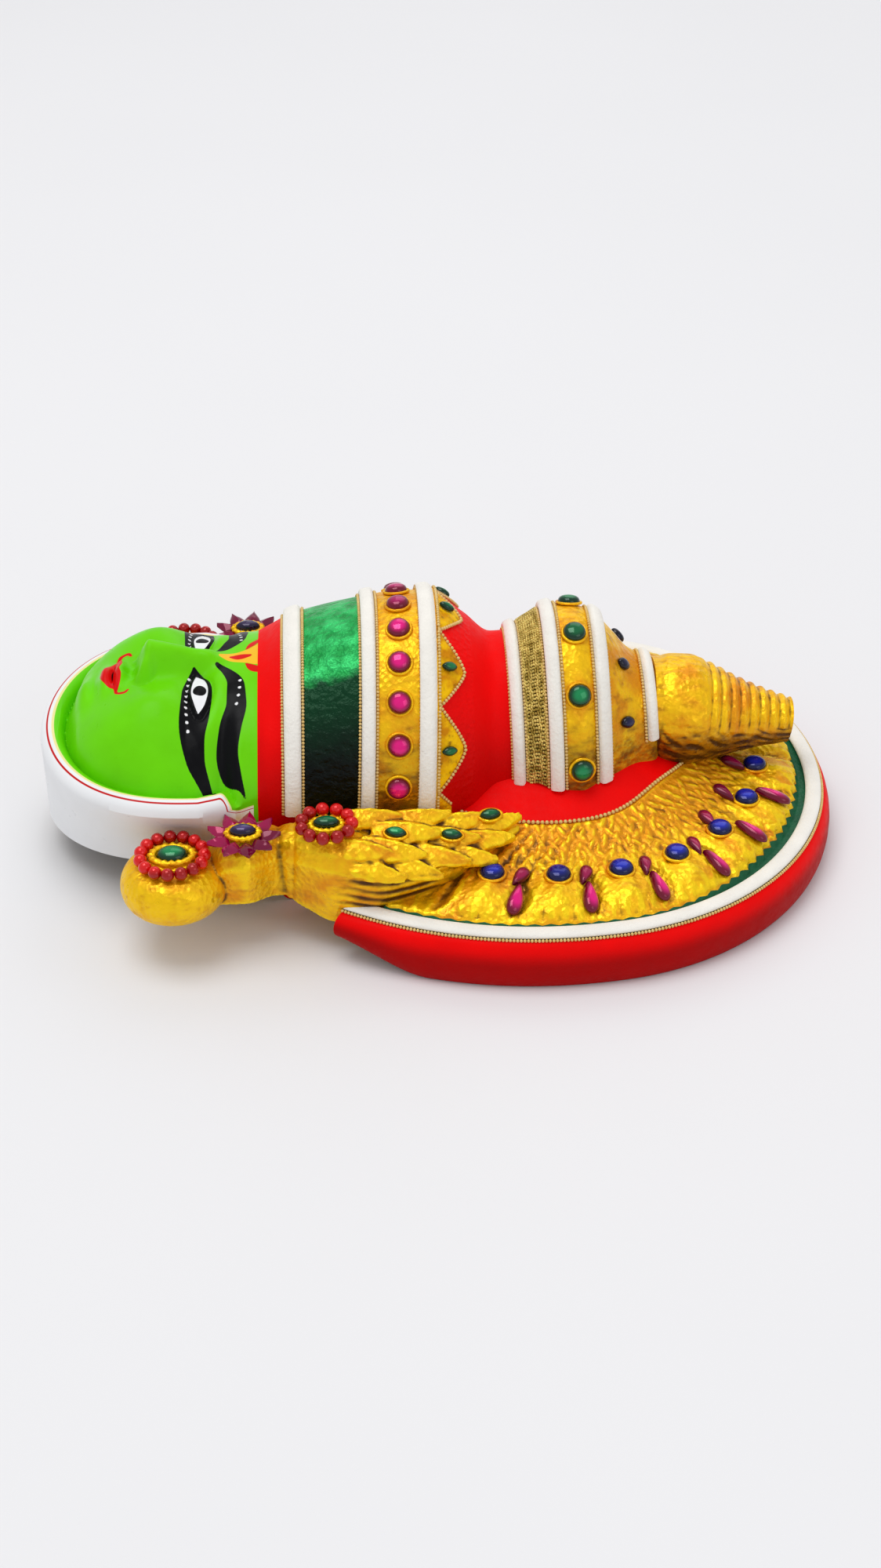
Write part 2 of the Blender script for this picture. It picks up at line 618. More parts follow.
# Repeated pieces, made by geometry nodes
def node_group(name, sockets):
    tree = bpy.data.node_groups.new(name, "GeometryNodeTree")
    tree.interface.new_socket("Geometry", in_out="OUTPUT", socket_type="NodeSocketGeometry")
    tree.interface.new_socket("Geometry", in_out="INPUT", socket_type="NodeSocketGeometry")
    ids = {}
    for label, kind in sockets:
        ids[label] = tree.interface.new_socket(label, in_out="INPUT", socket_type=kind).identifier
    entry, leave = tree.nodes.new("NodeGroupInput"), tree.nodes.new("NodeGroupOutput")
    return tree, ids, entry, leave


def run_through(tree, start, *stops):
    """Wire an output through nodes in turn; each stop is a node with its way in and its way out."""
    for node, way_in, way_out in stops:
        tree.links.new(start, node.inputs[way_in])
        start = node.outputs[way_out]
    return start


def bead_tree():
    """Round beads at an even spacing along a path."""
    tree, ids, entry, leave = node_group("beaded_cord", [
        ("Bead radius", "NodeSocketFloat"), ("Spacing", "NodeSocketFloat"), ("Finish", "NodeSocketMaterial")])
    given, add, wire = entry.outputs, tree.nodes.new, tree.links.new
    to_curve, resample = add("GeometryNodeMeshToCurve"), add("GeometryNodeResampleCurve")
    resample.mode = "LENGTH"
    bead = add("GeometryNodeMeshUVSphere")
    bead.inputs["Segments"].default_value = 8
    bead.inputs["Rings"].default_value = 5
    place, realize = add("GeometryNodeInstanceOnPoints"), add("GeometryNodeRealizeInstances")
    smooth, finish = add("GeometryNodeSetShadeSmooth"), add("GeometryNodeSetMaterial")
    wire(given["Spacing"], resample.inputs["Length"])
    wire(given["Bead radius"], bead.inputs["Radius"])
    wire(bead.outputs["Mesh"], place.inputs["Instance"])
    wire(given["Finish"], finish.inputs["Material"])
    beads = run_through(tree, given["Geometry"], (to_curve, "Mesh", "Curve"), (resample, "Curve", "Curve"),
                        (place, "Points", "Instances"), (realize, "Geometry", "Geometry"),
                        (smooth, "Geometry", "Geometry"), (finish, "Geometry", "Geometry"))
    wire(beads, leave.inputs["Geometry"])
    return tree, ids


def seat_tree():
    """Copies of one template on points, turned to each point's facing and heading."""
    tree, ids, entry, leave = node_group("set_on_seats", [
        ("Template", "NodeSocketObject"), ("Size", "NodeSocketFloat"), ("Finish", "NodeSocketMaterial")])
    given, add, wire = entry.outputs, tree.nodes.new, tree.links.new
    info = add("GeometryNodeObjectInfo")
    info.inputs["As Instance"].default_value = True
    read = {}
    for name, kind in (("facing", "FLOAT_VECTOR"), ("heading", "FLOAT_VECTOR"), ("grade", "FLOAT")):
        node = add("GeometryNodeInputNamedAttribute")
        node.data_type = kind
        node.inputs["Name"].default_value = name
        read[name] = node.outputs["Attribute"]
    axes = add("FunctionNodeAxesToRotation")
    axes.primary_axis, axes.secondary_axis = "Z", "X"
    times = add("ShaderNodeMath")
    times.operation = "MULTIPLY"
    place, realize = add("GeometryNodeInstanceOnPoints"), add("GeometryNodeRealizeInstances")
    finish = add("GeometryNodeSetMaterial")
    wire(given["Template"], info.inputs["Object"])
    wire(info.outputs["Geometry"], place.inputs["Instance"])
    wire(read["facing"], axes.inputs["Primary Axis"])
    wire(read["heading"], axes.inputs["Secondary Axis"])
    wire(axes.outputs["Rotation"], place.inputs["Rotation"])
    wire(read["grade"], times.inputs[0])
    wire(given["Size"], times.inputs[1])
    wire(times.outputs[0], place.inputs["Scale"])
    wire(given["Finish"], finish.inputs["Material"])
    copies = run_through(tree, given["Geometry"], (place, "Points", "Instances"),
                         (realize, "Geometry", "Geometry"), (finish, "Geometry", "Geometry"))
    wire(copies, leave.inputs["Geometry"])
    return tree, ids


def grown(name, carrier, tree, values):
    """The piece that a node tree makes on a carrier object."""
    modifier = carrier.modifiers.new("grow", "NODES")
    modifier.node_group = tree
    for identifier, value in values.items():
        modifier[identifier] = value
    result = evaluated_mesh(name, carrier)
    bpy.data.objects.remove(carrier)
    return link(name, result)


def beads_along(name, paths, radius, spacing, look):
    """A piece of beads strung along paths in millimetres."""
    edges, start = [], 0
    for path in paths:
        edges += [(start + i, start + i + 1) for i in range(len(path) - 1)]
        start += len(path)
    mesh = bpy.data.meshes.new(name)
    mesh.from_pydata((np.concatenate(paths) * MM).tolist(), edges, [])
    tree, ids = bead_tree()
    values = {ids["Bead radius"]: radius * MM, ids["Spacing"]: spacing * MM, ids["Finish"]: look}
    return grown(name, link(name + "_path", mesh), tree, values)


def set_on(name, template, seats, look):
    """A piece of template copies; seats are (point, facing, heading, grade)."""
    mesh = bpy.data.meshes.new(name)
    mesh.from_pydata([tuple(np.asarray(seat[0]) * MM) for seat in seats], [], [])
    for layer, index in (("facing", 1), ("heading", 2)):
        values = np.array([seat[index] for seat in seats], np.float32).ravel()
        mesh.attributes.new(layer, "FLOAT_VECTOR", "POINT").data.foreach_set("vector", values)
    add_layer(mesh, "grade", [seat[3] for seat in seats])
    shape = link(name + "_template", template)
    tree, ids = seat_tree()
    values = {ids["Template"]: shape, ids["Size"]: 1.0, ids["Finish"]: look}
    piece = grown(name, link(name + "_seats", mesh), tree, values)
    bpy.data.objects.remove(shape)
    return piece


# Templates of the stones and their settings
def cabochon(name, length, width, rise, point=0.0, count=28):
    """A domed stone, flat behind; point draws its ends out to a marquise or one end to a drop."""
    turn = np.linspace(0, 2 * math.pi, count, endpoint=False)
    outline_x = length / 2 * np.cos(turn)
    outline_y = width / 2 * np.sin(turn)
    if point > 0:
        outline_y = outline_y * np.abs(np.sin(turn)) ** point
    if point < 0:
        outline_y = outline_y * (0.68 - 0.32 * np.cos(turn)) * 1.08
    rows = [(0.0, 0.99), (0.18, 1.0), (0.42, 0.97), (0.66, 0.86), (0.84, 0.66), (0.95, 0.4), (0.99, 0.16)]
    rings = [stacked(outline_x * s, outline_y * s, rise * z) for z, s in rows]
    points = np.concatenate([*rings, [[0, 0, rise]]])
    faces = loft_faces(len(rows), count, capped=False)
    faces.append(list(range(count)))
    top, crest = (len(rows) - 1) * count, len(rows) * count
    faces += [[top + j, top + (j + 1) % count, crest] for j in range(count)]
    edge = np.concatenate([*(np.full(count, s) for _, s in rows), [0.0]])
    return mesh_of(name, points, faces, [], layers={"edge": edge}, sharp=50)


def bezel(name, length, width, thick, point=0.0, beads=0, count=36):
    """A raised gold ring round a stone, plain or beaded."""
    turn = np.linspace(0, 2 * math.pi, count, endpoint=False)
    outline = np.stack([length / 2 * np.cos(turn), width / 2 * np.sin(turn)], -1)
    if point > 0:
        outline[:, 1] *= np.abs(np.sin(turn)) ** point
    outward = np.stack([np.cos(turn) / length, np.sin(turn) / width], -1)
    outward /= np.linalg.norm(outward, axis=1, keepdims=True)
    swell = 1 + 0.28 * np.cos(beads * turn) * (beads > 0)
    sides = 8
    rings = []
    for k in range(sides):
        around = 2 * math.pi * k / sides
        flat = outline + outward * (thick * swell * math.cos(around))[:, None]
        height = thick * 0.9 * swell * math.sin(around) + thick * 0.55
        rings.append(stacked(flat[:, 0], flat[:, 1], height))
    points = np.stack(rings, 1).reshape(-1, 3)
    return mesh_of(name, points, loft_faces(count, sides, endless=True), [], sharp=60)


def blade(length, half, thick, curl=0.0, ridge=0.0, veins=0.0, rows=14, sides=7):
    """A pointed petal or leaf from its base at 0 to its tip along X, its edge notched where it is veined."""
    across = np.linspace(-1, 1, sides)
    rings = []
    for i in range(rows):
        s = i / (rows - 1)
        wide = half * max(math.sin(math.pi * (0.08 + 0.92 * s) ** 0.72), 0.02) ** 0.8
        wide *= 1 + (0.05 * math.cos(2 * math.pi * 4 * s) if veins else 0)
        arch = thick * (0.35 + 0.65 * math.sin(math.pi * min(0.15 + s * 0.85, 1.0)))
        top = arch * (1 - across**2) + ridge * np.maximum(0, 1 - np.abs(across) * 4) + curl * s * s
        vein = np.cos(2 * math.pi * (4 * s - 0.9 * np.abs(across)))
        top = top + veins * vein * (1 - across**4) * math.sin(math.pi * s)
        under = curl * s * s - 0.4 * thick
        upper = stacked(length * s, wide * across, top)
        lower = stacked(length * s, wide * across, under)[::-1]
        rings.append(np.concatenate([upper, lower[1:-1]]))
    points = np.concatenate(rings)
    return points, loft_faces(rows, len(rings[0]))


def placed(points, at, heading, tip=0.0):
    """Points turned by a heading in plan, in degrees, and dipped by tip, then moved."""
    a, e = math.radians(heading), math.radians(tip)
    points = np.asarray(points)
    x = points[:, 0] * math.cos(e) - points[:, 2] * math.sin(e)
    z = points[:, 0] * math.sin(e) + points[:, 2] * math.cos(e)
    y = points[:, 1]
    return stacked(x * math.cos(a) - y * math.sin(a), x * math.sin(a) + y * math.cos(a), z) + at


def surface_of(mesh):
    """A mesh's points in millimetres, and its normals."""
    points, normals = np.empty(len(mesh.vertices) * 3), np.empty(len(mesh.vertices) * 3)
    mesh.vertices.foreach_get("co", points)
    mesh.vertex_normals.foreach_get("vector", normals)
    return points.reshape(-1, 3) / MM, normals.reshape(-1, 3)


def wash_of(mesh, reach, strength):
    """How deep each vertex lies in a recess, from the smoothed surface around it."""
    points, normals = surface_of(mesh)
    count = len(points)
    ends = np.empty(len(mesh.edges) * 2, np.int64)
    mesh.edges.foreach_get("vertices", ends)
    a, b = ends.reshape(-1, 2).T
    degree = np.bincount(a, minlength=count) + np.bincount(b, minlength=count)
    smooth = points.copy()
    for _ in range(reach):
        total = np.stack([np.bincount(a, smooth[b, k], count) + np.bincount(b, smooth[a, k], count)
                          for k in range(3)], -1)
        smooth = total / np.maximum(degree, 1)[:, None]
    return np.clip(((smooth - points) * normals).sum(1) * strength, -1, 1)


def length_property(name, description, default):
    return FloatProperty(name=name, description=description, default=default, unit="LENGTH")


class MaskSizes(bpy.types.PropertyGroup):
    """Sizes of the trims, in metres."""

    strip_height: length_property("Strip height", "How far a white strip stands off the crown", 0.0027)
    cord_bead: length_property("Cord bead", "Radius of a bead on the cords beside the strips", 0.00062)
    edging_bead: length_property("Edging bead", "Radius of a bead on the skirt's edging", 0.0008)
    stone: length_property("Stone", "Width of a round stone", 0.0082)
    stone_rise: length_property("Stone rise", "Height of a round stone", 0.0029)
    drop: length_property("Drop", "Length of a drop stone on the halo", 0.014)
    red_bead: length_property("Red bead", "Radius of a bead round the ear boss", 0.00245)
    camera_distance: length_property("Camera distance", "From the camera to the mask", 0.9)


def colour_property(name, description, default):
    return FloatVectorProperty(name=name, description=description, default=default, subtype="COLOR",
                               size=3, min=0.0, max=1.0)


class MaskColours(bpy.types.PropertyGroup):
    """Colours of the paint, gilding and stones."""

    leaf_green: colour_property("Face green", "Paint of the face", (0.15, 0.68, 0.002))
    white: colour_property("White", "Jaw frame and white details", (0.87, 0.88, 0.89))
    trim: colour_property("Trim", "White strips and piping", (0.9, 0.87, 0.8))
    red: colour_property("Red", "Headband, dome, skirt and rim", (0.88, 0.001, 0.001))
    lip: colour_property("Lip red", "Lips and forehead mark", (0.7, 0.004, 0.004))
    ink: colour_property("Ink", "Eyes and brows", (0.002, 0.002, 0.003))
    ochre: colour_property("Ochre", "Forehead mark and frame line", (0.92, 0.52, 0.02))
    gold: colour_property("Gold", "Gilding", (0.98, 0.57, 0.002))
    amber: colour_property("Amber", "Warm patches of the gilding", (0.8, 0.3, 0.002))
    glow: colour_property("Glow", "Raised parts of the gilding", (1.0, 0.68, 0.004))
    umber: colour_property("Umber", "Recesses of the gilding", (0.085, 0.03, 0.004))
    foil: colour_property("Foil", "Green satin of the crown", (0.01, 0.5, 0.09))
    ring: colour_property("Green ring", "Ring inside the piping", (0.006, 0.11, 0.045))
    ruby: colour_property("Ruby", "Magenta stones", (0.82, 0.001, 0.22))
    sapphire: colour_property("Sapphire", "Blue stones", (0.006, 0.02, 0.46))
    emerald: colour_property("Emerald", "Green stones", (0.004, 0.26, 0.08))
    maroon: colour_property("Maroon", "Flower petals", (0.36, 0.001, 0.07))
    bead: colour_property("Bead", "Red beads", (0.74, 0.006, 0.006))
    fibre: colour_property("Fibre", "Bare moulded fibre behind", (0.34, 0.27, 0.18))


def looks():
    return bpy.context.scene.mask_colours


def sizes():
    return bpy.context.scene.mask_sizes


# Finishes, each made once and shared by the pieces that wear it
@cache
def gold_finish():
    return gilded("gilding")


@cache
def gold_wire():
    return gilded("gold_wire", metallic=0.6, roughness=0.3)


@cache
def pale_wire():
    look = Look("pale_cord", 0.4, 0.3, shine=0.3)
    look.colour(look.blend(look.noise(500.0), rgba((0.62, 0.36, 0.06)), rgba((0.86, 0.68, 0.32))))
    look.raise_by(look.noise(1200.0), 0.00005)
    return look.material


@cache
def red_finish():
    """Red paint, deeper down the sides where the wash gathers."""
    red = looks().red
    look = Look("red_paint", 0.5, shine=0.07)
    drift = look.noise(90.0, 5.0)
    light = look.blend(drift, rgba(red, 0.9), rgba(red, 1.1))
    deep = look.blend(drift, rgba(red, 0.4), rgba(red, 0.52))
    look.colour(look.blend(look.spread(look.layer("wash"), 0.0, 1.0), light, deep))
    look.rough(look.spread(look.noise(360.0), 0.2, 0.8, 0.43, 0.6))
    look.raise_by(look.sum(look.noise(260.0, 4.0), look.noise(900.0, 2.0)), 0.00008)
    return look.material


@cache
def fibre_finish():
    fibre = looks().fibre
    look = Look("bare_fibre", 0.75)
    strands = look.noise(160.0, 6.0, stretch=(1.0, 5.0, 1.0))
    look.colour(look.blend(strands, rgba(fibre, 0.7), rgba(fibre, 1.25)))
    look.raise_by(look.sum(strands, look.noise(700.0, 4.0)), 0.0008)
    return look.material


@cache
def face_finish():
    """Green make-up with the white jaw frame, ink, lips and forehead mark."""
    colours = looks()
    look = Look("face_paint", 0.3, shine=0.1)
    base = look.blend(look.noise(60.0, 4.0), rgba(colours.leaf_green, 0.82), rgba(colours.leaf_green, 1.12))
    for layer, colour in (("ochre", colours.ochre), ("rouge", colours.lip), ("ink", colours.ink),
                          ("dots", colours.white), ("pupil", colours.ink)):
        base = look.blend(look.inside(layer), base, rgba(colour))
    white = look.blend(look.noise(45.0, 4.0), rgba(colours.white, 0.93), rgba(colours.white, 1.05))
    line = look.layer("frame_line")
    white = look.blend(look.spread(line, -4.7, -4.4), white, rgba((0.92, 0.78, 0.36)))
    on_line = look.sum(look.spread(line, -6.7, -6.45), look.spread(line, -6.0, -5.75), "SUBTRACT")
    white = look.blend(on_line, white, rgba(colours.lip, 0.8))
    look.colour(look.blend(look.spread(line, -3.72, -3.48), white, base))
    look.rough(look.spread(look.noise(240.0), 0.2, 0.8, 0.26, 0.42))
    look.raise_by(look.noise(220.0, 4.0), 0.00008)
    return look.material


@cache
def foil_finish():
    """Crumpled green satin, bright over the top and deep in the folds at the sides."""
    look = Look("green_satin", 0.34, 0.3, shine=0.2)
    crumple = look.noise(150.0, 4.0, stretch=(1.0, 1.0, 1.6))
    light = look.blend(look.spread(crumple, 0.35, 0.7), rgba(looks().foil, 0.6), rgba((0.04, 0.62, 0.16)))
    side = look.sum(look.layer("over"), look.spread(crumple, 0.2, 0.8, -0.03, 0.03))
    dark = look.blend(look.spread(side, 0.4, 0.8), rgba((0.001, 0.045, 0.014)), rgba((0.0006, 0.003, 0.002)))
    look.colour(look.blend(look.spread(side, 0.34, 0.4), light, dark))
    look.raise_by(look.sum(crumple, look.noise(420.0, 3.0)), 0.0012)
    return look.material


@cache
def braid_ground_finish():
    """Dark ground under the woven braid."""
    look = Look("braid_ground", 0.5, 0.3)
    look.colour(look.blend(look.noise(500.0, 5.0), rgba((0.14, 0.09, 0.02)), rgba((0.36, 0.26, 0.06))))
    look.raise_by(look.cells(900.0), 0.0006)
    return look.material


@cache
def braid_finish():
    look = Look("braid", 0.4, 0.45)
    drift = look.spread(look.noise(330.0, 4.0), 0.35, 0.65)
    look.colour(look.blend(drift, rgba((0.36, 0.25, 0.04)), rgba((0.8, 0.63, 0.18))))
    look.raise_by(look.noise(1500.0), 0.00005)
    return look.material


@cache
def leaf_edge_finish():
    """Gold leaves over red paint, split along the leaves' outline."""
    colours = looks()
    look = Look("leaf_edging", 0.46, shine=0.08)
    red = look.blend(look.noise(90.0, 5.0), rgba(colours.red, 0.9), rgba(colours.red, 1.1))
    red = look.blend(look.spread(look.layer("wash"), 0.0, 1.0), red, rgba(colours.red, 0.46))
    patches = look.spread(look.noise(160.0, 5.0), 0.4, 0.7)
    gold = look.blend(patches, rgba(colours.gold), rgba(colours.amber, 0.8))
    grime = look.spread(look.noise(360.0, 4.0), 0.5, 0.85)
    gold = look.blend(grime, gold, rgba(colours.umber, 2.0))
    look.colour(look.blend(look.inside("leaf_line", 0.15), red, gold))
    look.raise_by(look.sum(look.noise(500.0, 4.0), look.cells(500.0)), 0.0003)
    return look.material


@cache
def green_ring_finish():
    look = Look("green_ring", 0.45)
    look.colour(look.blend(look.noise(200.0, 4.0), rgba(looks().ring, 0.6), rgba(looks().ring, 1.4)))
    look.raise_by(look.noise(700.0, 4.0), 0.0004)
    return look.material


@cache
def strip_finish():
    trim = looks().trim
    look = Look("white_cord", 0.6)
    weave = look.noise(900.0, 4.0)
    look.colour(look.blend(look.noise(110.0, 4.0), rgba(trim, 0.88), rgba(trim, 1.06)))
    look.raise_by(look.sum(weave, look.noise(300.0, 3.0)), 0.0003)
    return look.material


@cache
def stone_finish(name):
    """Foil-backed acrylic, dark at its edge."""
    colours = looks()
    colour, deep = {
        "ruby": (colours.ruby, (0.16, 0.0, 0.02)),
        "sapphire": (colours.sapphire, (0.002, 0.004, 0.06)),
        "emerald": (colours.emerald, (0.0, 0.03, 0.012)),
        "maroon_petal": (colours.maroon, (0.12, 0.0, 0.02)),
        "red_bead": (colours.bead, (0.3, 0.0, 0.0)),
        "navy": ((0.012, 0.012, 0.09), (0.002, 0.002, 0.012)),
        "violet": ((0.07, 0.04, 0.16), (0.01, 0.004, 0.03)),
    }[name]
    look = Look(name, 0.1, 0.2, coat=0.35, coat_roughness=0.04, shine=0.3)
    tone = look.blend(look.spread(look.noise(48.0, 0.0), 0.47, 0.58), rgba(colour), rgba(colour, 0.5))
    look.colour(look.blend(look.spread(look.layer("edge"), 0.35, 0.95), tone, rgba(deep)))
    look.raise_by(look.noise(900.0), 0.00002)
    return look.material


# Where each band of the head ends along X, and its finish
HEAD_BANDS = [
    (-68.6, "face"), (-53.0, "red"), (-31.5, "foil"), (-9.7, "gold"), (-4.3, "gold"),
    (10.5, "leaf"), (30.1, "red"), (43.9, "braid"), (61.2, "gold"), (84.0, "dusk"),
]


class MASK_OT_head(bpy.types.Operator):
    """Make the moulded head and crown, painted, with its bare inside"""

    bl_idname = "mask.head"
    bl_label = "Head and crown"

    # Points of a ring over the top, up each wall and round the inside
    OVER, WALL_ROWS, INNER = 200, 6, 26
    FINISHES = {
        "face": face_finish, "red": red_finish, "foil": foil_finish, "gold": gold_finish,
        "leaf": leaf_edge_finish, "braid": braid_ground_finish, "dusk": gold_finish, "fibre": fibre_finish,
    }

    def execute(self, context):
        stations = self.stations()
        rings = self.rings(stations)
        finishes = [finish() for finish in self.FINISHES.values()]
        add_piece("head_and_crown_shell", lofted(rings), finishes, "painted_shell", ["head_and_crown"],
                  which=self.bands(stations, rings.shape[1]), layers=self.layers(stations, rings))
        self.finial()
        return {"FINISHED"}

    @staticmethod
    def stations():
        """Where the rings stand along X, with two at each end of the hollow."""
        return np.sort(np.concatenate([
            CHIN_X + 0.1 + 9 * np.linspace(0, 1, 26, endpoint=False) ** 1.7,
            np.arange(-140.9, -67.5, 0.55),
            np.arange(-67.4, 12, 0.8),
            np.arange(12, CROWN_END_X + 0.1, 1.0),
            [limit for limit, _ in HEAD_BANDS[:-1]],
            HOLLOW * 2,
        ]))

    def rings(self, stations):
        """Each ring's near wall, top, far wall and inside."""
        x = stations[:, None]
        over = head_points(x, np.linspace(-1, 1, self.OVER)[None, :])
        width = half_width_at(x)
        rise = np.linspace(0, 1, self.WALL_ROWS, endpoint=False)[None, :]
        wall_y = mix(width * back_share_at(x), width, rise**1.25)
        wall_z = mix(back_at(x), shoulder_at(x), rise)
        near, far = stacked(x, -wall_y, wall_z), stacked(x, wall_y, wall_z)[:, ::-1]
        return np.concatenate([near, over, far, self.inside(stations)], 1)

    def inside(self, stations):
        """The hollow's arch at each station, flat across the back where there is none."""
        x = stations[:, None]
        room = 1 - smoothstep(x, HEADBAND[0] - 8, HEADBAND[1])
        back_width = half_width_at(x) * back_share_at(x)
        width = half_width_at(x) - WALL - FRAME_WIDTH * room
        shoulder = shoulder_at(x) - mix(2, 12, room)
        rise = apex_at(x) - shoulder - WALL - 1 - 4 * room
        turn = np.linspace(math.pi / 2, -math.pi / 2, self.INNER - 2)[None, :]
        top = stacked(x + lean_at(x) * np.cos(turn), width * np.sin(turn), shoulder + rise * np.cos(turn))
        foot = back_width - WALL
        ends = [stacked(x, side * foot, back_at(x)) for side in (1, -1)]
        arch = np.concatenate([ends[0], top, ends[1]], 1)
        flat = stacked(x, back_width * np.linspace(0.96, -0.96, self.INNER)[None, :], back_at(x))
        hollow = (stations >= HOLLOW[0]) & (stations <= HOLLOW[1])
        hollow[np.flatnonzero(stations == HOLLOW[0])[0]] = False
        hollow[np.flatnonzero(stations == HOLLOW[1])[-1]] = False
        return np.where(hollow[:, None, None], arch, flat)

    def bands(self, stations, count):
        """The finish of each face, and of the two end caps after them."""
        names = list(self.FINISHES)
        middle = (stations[:-1] + stations[1:]) / 2
        row = [names.index(next(name for limit, name in HEAD_BANDS if at < limit)) for at in middle]
        which = np.repeat(np.array(row)[:, None], count, 1)
        which[:, 2 * self.WALL_ROWS + self.OVER - 1:] = names.index("fibre")
        return np.concatenate([which.ravel(), [names.index("face"), names.index("dusk")]])

    def layers(self, stations, rings):
        """What the finishes read at each point: make-up, place over the top, leaf edge and wash."""
        along = np.repeat(stations, rings.shape[1])
        wall = np.full(self.WALL_ROWS, 1.0)
        ring = np.concatenate([-wall, np.linspace(-1, 1, self.OVER), wall, np.zeros(self.INNER)])
        wide = np.tile(ring, len(stations))
        place = np.arange(len(ring)) - self.WALL_ROWS
        on_top = np.tile((place >= 0) & (place < self.OVER), len(stations))
        made_up = (along < -60) & on_top
        layers = {}
        for name, values in face_paint(along[made_up], rings[:, :, 1].ravel()[made_up]).items():
            layers[name] = np.full(len(along), CLEAR)
            layers[name][made_up] = values
        layers["frame_line"][(along < HEADBAND[0]) & ~on_top] = -20.0
        layers["over"] = np.abs(wide)
        layers["leaf_line"] = along - leaf_tip(wide * math.pi / 2)
        dusk = smoothstep(along, 61, 63) * (1 - smoothstep(along, 78, 80))
        layers["wash"] = 0.55 * smoothstep(layers["over"], 0.35, 0.95) * (1 - 0.5 * dusk) + 0.2 * dusk
        return layers

    @staticmethod
    def finial():
        """The ribbed cone at the crown's end, closed at both ends."""
        axis = FINIAL_END - FINIAL_START
        length = np.linalg.norm(axis)
        axis = axis / length
        up, across = np.array([-axis[2], 0, axis[0]]), np.array([0, 1.0, 0])
        turn = np.linspace(0, 2 * math.pi, 160, endpoint=False)[None, :]
        along = np.linspace(-3.0, length, 200)[:, None]
        top = smoothstep(np.cos(turn), -0.2, 0.5)
        ribs = 0.5 * np.cos(along / FINIAL_RIB_PITCH * 2 * math.pi) * smoothstep(along, 14, 20) * top
        flutes = 0.28 * np.abs(np.sin(turn * FINIAL_FLUTES + 0.6 * np.sin(along * 0.3)))
        flutes = flutes * (1 - smoothstep(along, 13, 18)) * smoothstep(along, 0, 3)
        scratch = 0.3 * np.sin(turn * FINIAL_STROKES + along * 0.5 + 1.6 * np.sin(along * 0.31))
        scratch = scratch * (0.6 + 0.4 * np.sin(along * 0.7 + turn * 5)) * (1 - top)
        radius = finial_radius_at(along) + ribs + flutes + scratch
        radius[-1] -= 1.0
        spoke = np.cos(turn)[..., None] * up + np.sin(turn)[..., None] * across
        rings = FINIAL_START + along[..., None] * axis + radius[..., None] * spoke
        wash = 0.62 * (1 - top) + 0.5 * smoothstep(-ribs, 0.15, 0.45) + 0.35 * smoothstep(-scratch, 0.02, 0.2)
        wash = wash + 0.25 * smoothstep(0.08 - flutes, 0, 0.08) * (along < 15)
        warm = np.tile(0.6 * (1 - top), (len(along), 1))
        add_piece("finial", lofted(rings), [gold_finish()], "gilt",
                  layers={"wash": wash.ravel(), "warm": warm.ravel()})


